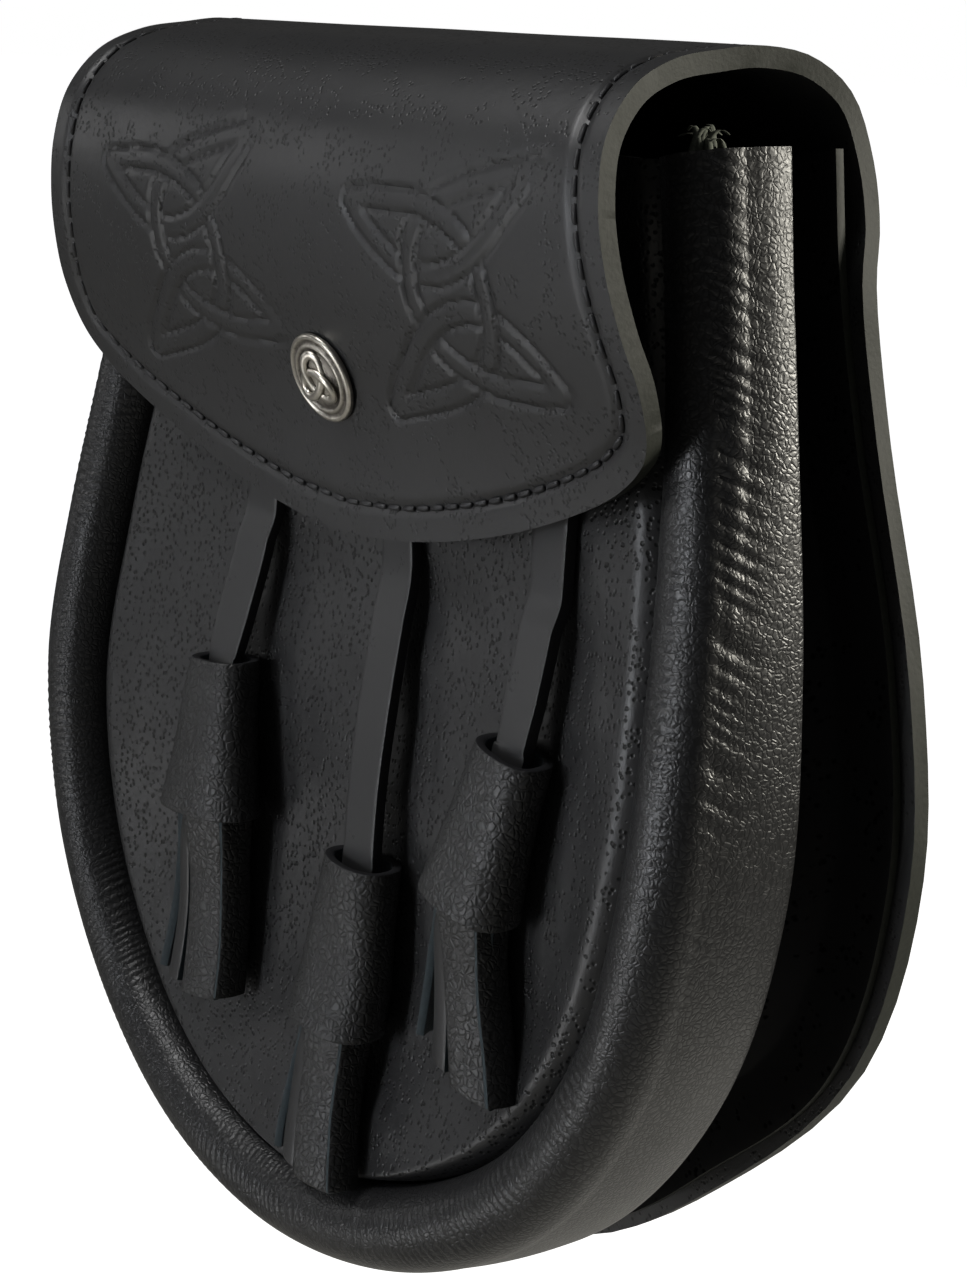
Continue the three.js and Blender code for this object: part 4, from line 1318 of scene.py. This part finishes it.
def fringe_strip(tassel, strip, number):
    """One cut strip: its grain side out, its edges a little uneven."""
    length = collar_length(tassel)
    inset = COLLAR_LEATHER + GAP
    width, depth = collar_size(tassel, 1)
    radius = (STRIP_RING[0] * (width - inset), STRIP_RING[1] * (depth - inset))
    turn, look = math.radians(strip["turn"]), math.radians(strip["face"])
    out = (math.sin(turn), math.cos(turn))
    front = (math.sin(look), math.cos(look))
    flare = math.tan(math.radians(strip["flare"] * tassel["fan"]))
    sway = math.tan(math.radians(strip["sway"] * tassel["fan"]))
    share = np.linspace(0, 1, 34)[:, None]
    edge = np.linspace(-1, 1, 9)[None]
    long = strip["length"] * tassel["fringe"] * FRINGE_LENGTH
    drop = share * (long + STRIP_TUCK) - STRIP_TUCK
    reach = np.maximum(drop, 0)
    half = strip["width"] * STRIP_WIDTH / 2 * (1 - STRIP_TAPER + STRIP_TAPER * share)
    half = half - CUT_GAP * smoothstep(share, 0.1, 0.4)
    curl = STRIP_CURL * edge ** 2 * smoothstep(share, 0, 0.4)
    ripple = STRIP_RIPPLE * np.sin(share * (4 + number % 3) + number) * smoothstep(share, 0.05, 0.5)
    settle = 1 - STRIP_SETTLES * np.maximum(share - 0.1, 0)
    spread = reach * flare + ripple
    side = (radius[0] + spread) * out[0] + front[1] * reach * sway
    side = side + tassel["drift"] * FRINGE_LENGTH * share ** 2
    lift = (GAP + depth + (radius[1] + spread) * out[1] - front[0] * reach * sway) * settle
    rag = 1 + STRIP_RAG * soft_noise(share * 6, edge * 0.6, seed=number + 20)
    across = edge * half * rag
    points = tassel_place(
        tassel, 1 + drop / length + 0 * edge,
        side + front[1] * across - front[0] * curl, lift - front[0] * across - front[1] * curl)
    piece = grid_piece("strip", points)
    wear(piece, strap_hide if strip["grain"] == "smooth" else tassel_hide, suede_edge, flesh_side)
    face_towards(piece, (front[0], -front[1], 0))
    thicken(piece, STRIP_LEATHER, offset=0)
    round_edges(piece, STRIP_ROUNDING)
    return piece


def tassel_fringe(tassel):
    parts = [fringe_strip(tassel, strip, number) for number, strip in enumerate(STRIPS)]
    piece = join("tassel_fringe_" + tassel["side"] + "_leather", parts)
    smooth(piece)
    keep(piece, "tassel_leather", "tassel_fringe_" + tassel["side"])


# Press stud

CAP_SIDES = 96
CAP_BASE = 0.6
CAP_ROUNDING = 0.08

# The cap's top from its rim inwards: each step insets and lifts, in millimetres
CAP_STEPS = [
    (0.25, 0.25), (0.45, 0.1), (0.4, -0.35), (0.35, 0.05), (0.3, 0.35), (0.35, 0.1), (0.3, -0.35),
    (0.6, 0.22), (0.8, 0.25), (1.0, 0.22), (1.2, 0.14), (0.9, 0.05),
]

# The dome falls away from its crown by this much at DOME_RADIUS
DOME_RADIUS = 5
DOME_FALL = 0.45
DOME_CROWN = 1.95
FIELD_RADIUS = 6.8

# The knot's strand: size of its loops, half its width and height, its seat and how far it weaves
LOOP_SIZE = 1.42
STRAND_HALF = 0.78
STRAND_RISE = 0.5
STRAND_SEAT = 1.75
STRAND_WEAVE = 0.28


def dome_fall(places):
    return DOME_FALL * (np.hypot(places[:, 0], places[:, 1]) / DOME_RADIUS) ** 2


def stud_cap(sheet):
    """A domed cap with a rolled rim and a three-looped knot in relief."""
    bpy.ops.object.select_all(action="DESELECT")
    bpy.ops.mesh.primitive_cylinder_add(
        vertices=CAP_SIDES, radius=STUD_RADIUS * MM, depth=CAP_BASE * MM,
        location=(0, 0, CAP_BASE / 2 * MM))
    cap = bpy.context.active_object
    bpy.ops.object.transform_apply(location=True)
    bpy.ops.object.mode_set(mode="EDIT")
    bpy.ops.mesh.select_all(action="DESELECT")
    bpy.ops.object.mode_set(mode="OBJECT")
    for face in cap.data.polygons:
        face.select = face.normal.z > 0.9
    bpy.ops.object.mode_set(mode="EDIT")
    for inset, lift in CAP_STEPS:
        bpy.ops.mesh.inset(thickness=inset * MM, depth=lift * MM)
    bpy.ops.object.mode_set(mode="OBJECT")
    piece = join("stud_cap_metal", [cap, knot_strand()])
    mark_recesses(piece)
    round_edges(piece, CAP_ROUNDING, angle=25)
    smooth(piece, 50)
    point, out, along = sheet.at(np.array([0.0]), np.array([stud_length(sheet)]))
    out = out[0] * (1, -1, 1)
    up = along[0] * (1, -1, 1)
    turn = Matrix((np.cross(up, out), up, out)).transposed().to_4x4()
    seat = mesh_place(point[0]) + out * (GAP + 0.05) * MM
    piece.data.transform(Matrix.Translation(Vector(seat)) @ turn)
    piece.data.update()
    wear(piece, stud_metal)
    keep(piece, "stud_metal", "stud_cap")


def stud_length(sheet):
    front = sheet.places > CROWN_PLACE + 2
    return np.interp(-STUD_HEIGHT, -sheet.edge[front, 2], sheet.length[front])


def knot_strand():
    """A three-looped knot strand that rides over and under itself on the dome."""
    turns = np.linspace(0, 2 * np.pi, 145)
    path = LOOP_SIZE * np.column_stack([
        np.sin(turns) + 2 * np.sin(2 * turns), np.cos(turns) - 2 * np.cos(2 * turns), 0 * turns])
    path[:, 2] = STRAND_SEAT - dome_fall(path) - STRAND_WEAVE * np.sin(3 * turns)
    run = unit(np.gradient(path, axis=0))
    run[0] = run[-1] = unit(path[1] - path[-2])
    across = unit(np.cross(run, (0, 0, 1)))
    lift = np.cross(across, run)
    angle = np.linspace(0, 2 * np.pi, 13)[None, :, None]
    ring = STRAND_HALF * np.cos(angle) * across[:, None] + STRAND_RISE * np.sin(angle) * lift[:, None]
    points = (path[:, None] + ring) * MM
    strand, order = flat_grid("strand", *points.shape[:2])
    set_coordinates(strand, points.reshape(-1, 3)[order])
    merge(strand)
    face_out(strand)
    return strand


def mark_recesses(piece):
    """Stores how deep each point lies below the raised work, for the darkened metal."""
    places = coordinates(piece) / MM
    below = DOME_CROWN - dome_fall(places) - places[:, 2]
    on_field = np.hypot(places[:, 0], places[:, 1]) < FIELD_RADIUS
    recess = smoothstep(below, 0.15, 0.8) * on_field
    mark = piece.data.attributes.new("recess", "FLOAT", "POINT")
    mark.data.foreach_set("value", recess)


# Strap loops on the back

LOOP_ROUNDING = 0.6
LOOP_END = 4
LOOP_END_NARROWS = 0.22


def back_loop(side, name):
    """A strap loop: two flat feet, and a bow between them that the belt strap passes through."""
    foot = GAP + LOOP_LEATHER / 2
    bow = foot + LOOP_ROOM
    reach = LOOP_OPENING / 2
    rising = np.array([
        (-reach - LOOP_FOOT, foot), (-reach - 1, foot), (-reach + 1, foot + 1),
        (-reach + 3.5, bow - 1.2), (-reach + 6, bow)])
    profile = np.vstack([rising, rising[::-1] * (-1, 1)])
    places = np.concatenate([np.linspace(0, 4, 22)[:-1], np.linspace(4, 5, 14)[:-1], np.linspace(5, 9, 22)])
    line = curve_at(profile, places)
    across = np.linspace(-0.5, 0.5, 13) * LOOP_WIDTH
    round_end = np.clip(1 - (reach + LOOP_FOOT - np.abs(line[:, 0])) / LOOP_END, 0, 1)
    pull = 1 - LOOP_END_NARROWS * round_end[:, None] ** 2
    x = side * LOOP_SPREAD + across[None] * pull
    points = np.stack([
        x, -line[:, 1:] + 0 * x, LOOP_HEIGHT + line[:, :1] + 0 * x], axis=-1)
    piece = grid_piece(name, points)
    wear(piece, flap_hide, painted_edge, flesh_side)
    face_towards(piece, (0, 1, 0))
    thicken(piece, LOOP_LEATHER, offset=0)
    round_edges(piece, LOOP_ROUNDING, 3)
    smooth(piece)
    return piece


def back_loops():
    for side, label in ((-1, "left"), (1, "right")):
        piece = back_loop(side, f"back_loop_{label}_leather")
        keep(piece, "flap_leather", f"back_loop_{label}")


BOX_INSET = (3, 2.2)
BOX_STITCH = 2.5
BOX_THREAD = 0.4

# Sides of a stitched box: which edge it lies on, which way it runs, how many stitches it has
BOX_SIDES = (((0, 1), (1, 0), 4), ((0, -1), (1, 0), 4), ((1, 0), (0, 1), 2), ((-1, 0), (0, 1), 2))


def loop_stitches():
    """A box of stitches on each foot of the strap loops."""
    places, ways = [], []
    box = (LOOP_WIDTH / 2 - BOX_INSET[0], LOOP_FOOT / 2 - BOX_INSET[1])
    from_middle = (LOOP_OPENING + LOOP_FOOT) / 2 + 0.4
    for side, end in ((-1, -1), (-1, 1), (1, -1), (1, 1)):
        middle = np.array([side * LOOP_SPREAD, LOOP_HEIGHT + end * from_middle])
        for edge, run, count in BOX_SIDES:
            for step in (np.arange(count) + 0.5) / count * 2 - 1:
                spot = middle + (np.array(edge) + np.array(run) * step) * box
                places.append((spot[0], -(GAP + LOOP_LEATHER + 0.1), spot[1]))
                ways.append((run[0], 0, run[1]))
    places, ways = np.array(places), np.array(ways, float)
    piece = repeated(
        "loop_stitches", capsule(BOX_STITCH * MM, BOX_THREAD * MM), mesh_place(places), ways,
        np.tile((0.0, 1.0, 0.0), (len(places), 1)))
    wear(piece, thread)
    keep(piece, "flap_leather")


sheet = FlapSheet()
flap_leather(sheet)
flap_stitches(sheet)
front_panel_leather()
roll_leather()
roll_filler()
gusset_leather()
for tassel in TASSELS:
    tassel_strap(tassel)
    tassel_collar(tassel)
    tassel_fringe(tassel)
stud_cap(sheet)
back_loops()
loop_stitches()

post = frame["nodes"]["stud_post"]
post.data.materials.clear()
post.data.materials.append(post_metal)


# Camera, light and floor

CAMERA_PLACE = Vector((0.3280, -0.2795, 0.0717))
CAMERA_AZIMUTH = math.radians(50.5)
CAMERA_RISE = math.radians(13.7)
CAMERA_ROLL = math.radians(2.5)
CAMERA_LENS = 72.43
LAMP_AIM = Vector((0.09, 0, 0))
SKY_LOW = 0.012
SKY_HIGH = 0.16
FLOOR_SIZE = 60
FLOOR_DROP = 0.6
WHITE = (1.0, 1.0, 1.0)


def add_camera():
    away = Vector((
        math.sin(CAMERA_AZIMUTH) * math.cos(CAMERA_RISE), -math.cos(CAMERA_AZIMUTH) * math.cos(CAMERA_RISE),
        math.sin(CAMERA_RISE)))
    right = Vector((math.cos(CAMERA_AZIMUTH), math.sin(CAMERA_AZIMUTH), 0))
    up = away.cross(right)
    camera = bpy.data.objects.new("camera", bpy.data.cameras.new("camera"))
    camera.data.lens = CAMERA_LENS
    camera.data.sensor_width = 36
    rolled = (
        math.cos(CAMERA_ROLL) * right + math.sin(CAMERA_ROLL) * up,
        math.cos(CAMERA_ROLL) * up - math.sin(CAMERA_ROLL) * right, away)
    camera.matrix_world = Matrix.Translation(CAMERA_PLACE) @ Matrix(rolled).transposed().to_4x4()
    bpy.context.scene.collection.objects.link(camera)
    bpy.context.scene.camera = camera


def add_softbox(name, place, size, watts, colour, spread=180):
    """A rectangular lamp that faces the pouch's right side; spread narrows its beam, in degrees."""
    lamp = bpy.data.lights.new(name, "AREA")
    lamp.shape = "RECTANGLE"
    lamp.size, lamp.size_y = size
    lamp.energy = watts
    lamp.color = colour
    lamp.spread = math.radians(spread)
    box = bpy.data.objects.new(name, lamp)
    box.location = place
    box.rotation_euler = (LAMP_AIM - Vector(place)).to_track_quat("-Z", "Y").to_euler()
    bpy.context.scene.collection.objects.link(box)


def add_world():
    """White behind the pouch, and a dim soft sky that lights it from above more than from below."""
    world = bpy.data.worlds.new("studio white")
    world.use_nodes = True
    tree = world.node_tree
    seen = tree.nodes["Background"]
    seen.inputs["Color"].default_value = (1, 1, 1, 1)
    seen.inputs["Strength"].default_value = 1.0
    way = add_node(tree, "ShaderNodeTexCoord")
    split = add_node(tree, "ShaderNodeSeparateXYZ", {"Vector": way.outputs["Generated"]})
    level = add_node(tree, "ShaderNodeMapRange", {
        "Value": split.outputs["Z"], "From Min": 0.1, "From Max": 0.9, "To Min": SKY_LOW, "To Max": SKY_HIGH})
    dim = add_node(tree, "ShaderNodeBackground", {"Strength": level.outputs["Result"]})
    rays = add_node(tree, "ShaderNodeLightPath")
    mix = add_node(tree, "ShaderNodeMixShader", {
        0: rays.outputs["Is Camera Ray"], 1: dim.outputs["Background"], 2: seen.outputs["Background"]})
    tree.links.new(mix.outputs["Shader"], tree.nodes["World Output"].inputs["Surface"])
    bpy.context.scene.world = world


def add_floor():
    bpy.ops.object.select_all(action="DESELECT")
    bpy.ops.mesh.primitive_plane_add(
        size=FLOOR_SIZE, location=(0, 0, cad_box[0][2] - FLOOR_DROP))
    floor = bpy.context.active_object
    floor.name = "floor"
    bpy.ops.object.transform_apply(location=True)
    material = speckled_material(
        "studio floor", (0.9, 0.9, 0.9), (0.94, 0.94, 0.94), 3.0, 2.0, Roughness=0.9,
        Specular_IOR_Level=0.1, Emission_Color=(1, 1, 1, 1))
    tree = material.node_tree
    seen = add_node(tree, "ShaderNodeLightPath")
    tree.links.new(
        seen.outputs["Is Camera Ray"], tree.nodes["Principled BSDF"].inputs["Emission Strength"])
    floor.data.materials.append(material)


add_camera()
add_world()
add_floor()
add_softbox("left", (-0.93, -0.57, 0.14), (0.26, 0.36), 0.044, WHITE, 40)
add_softbox("front left", (-0.45, -0.92, -0.42), (0.3, 0.3), 0.1, WHITE, 40)
add_softbox("low left", (-0.3, -0.84, -0.8), (0.35, 0.3), 0.35, WHITE)
add_softbox("front", (-0.2, -1.09, 0.05), (0.2, 0.45), 0.15, (0.92, 0.95, 1.0), 26)
add_softbox("top", (-0.32, -0.6, 0.9), (0.4, 0.3), 0.4, WHITE, 40)
add_softbox("rear right", (0.73, 0.88, 0.34), (0.3, 0.35), 21.0, (1.0, 0.96, 0.85))
bpy.context.scene.view_settings.view_transform = "Standard"
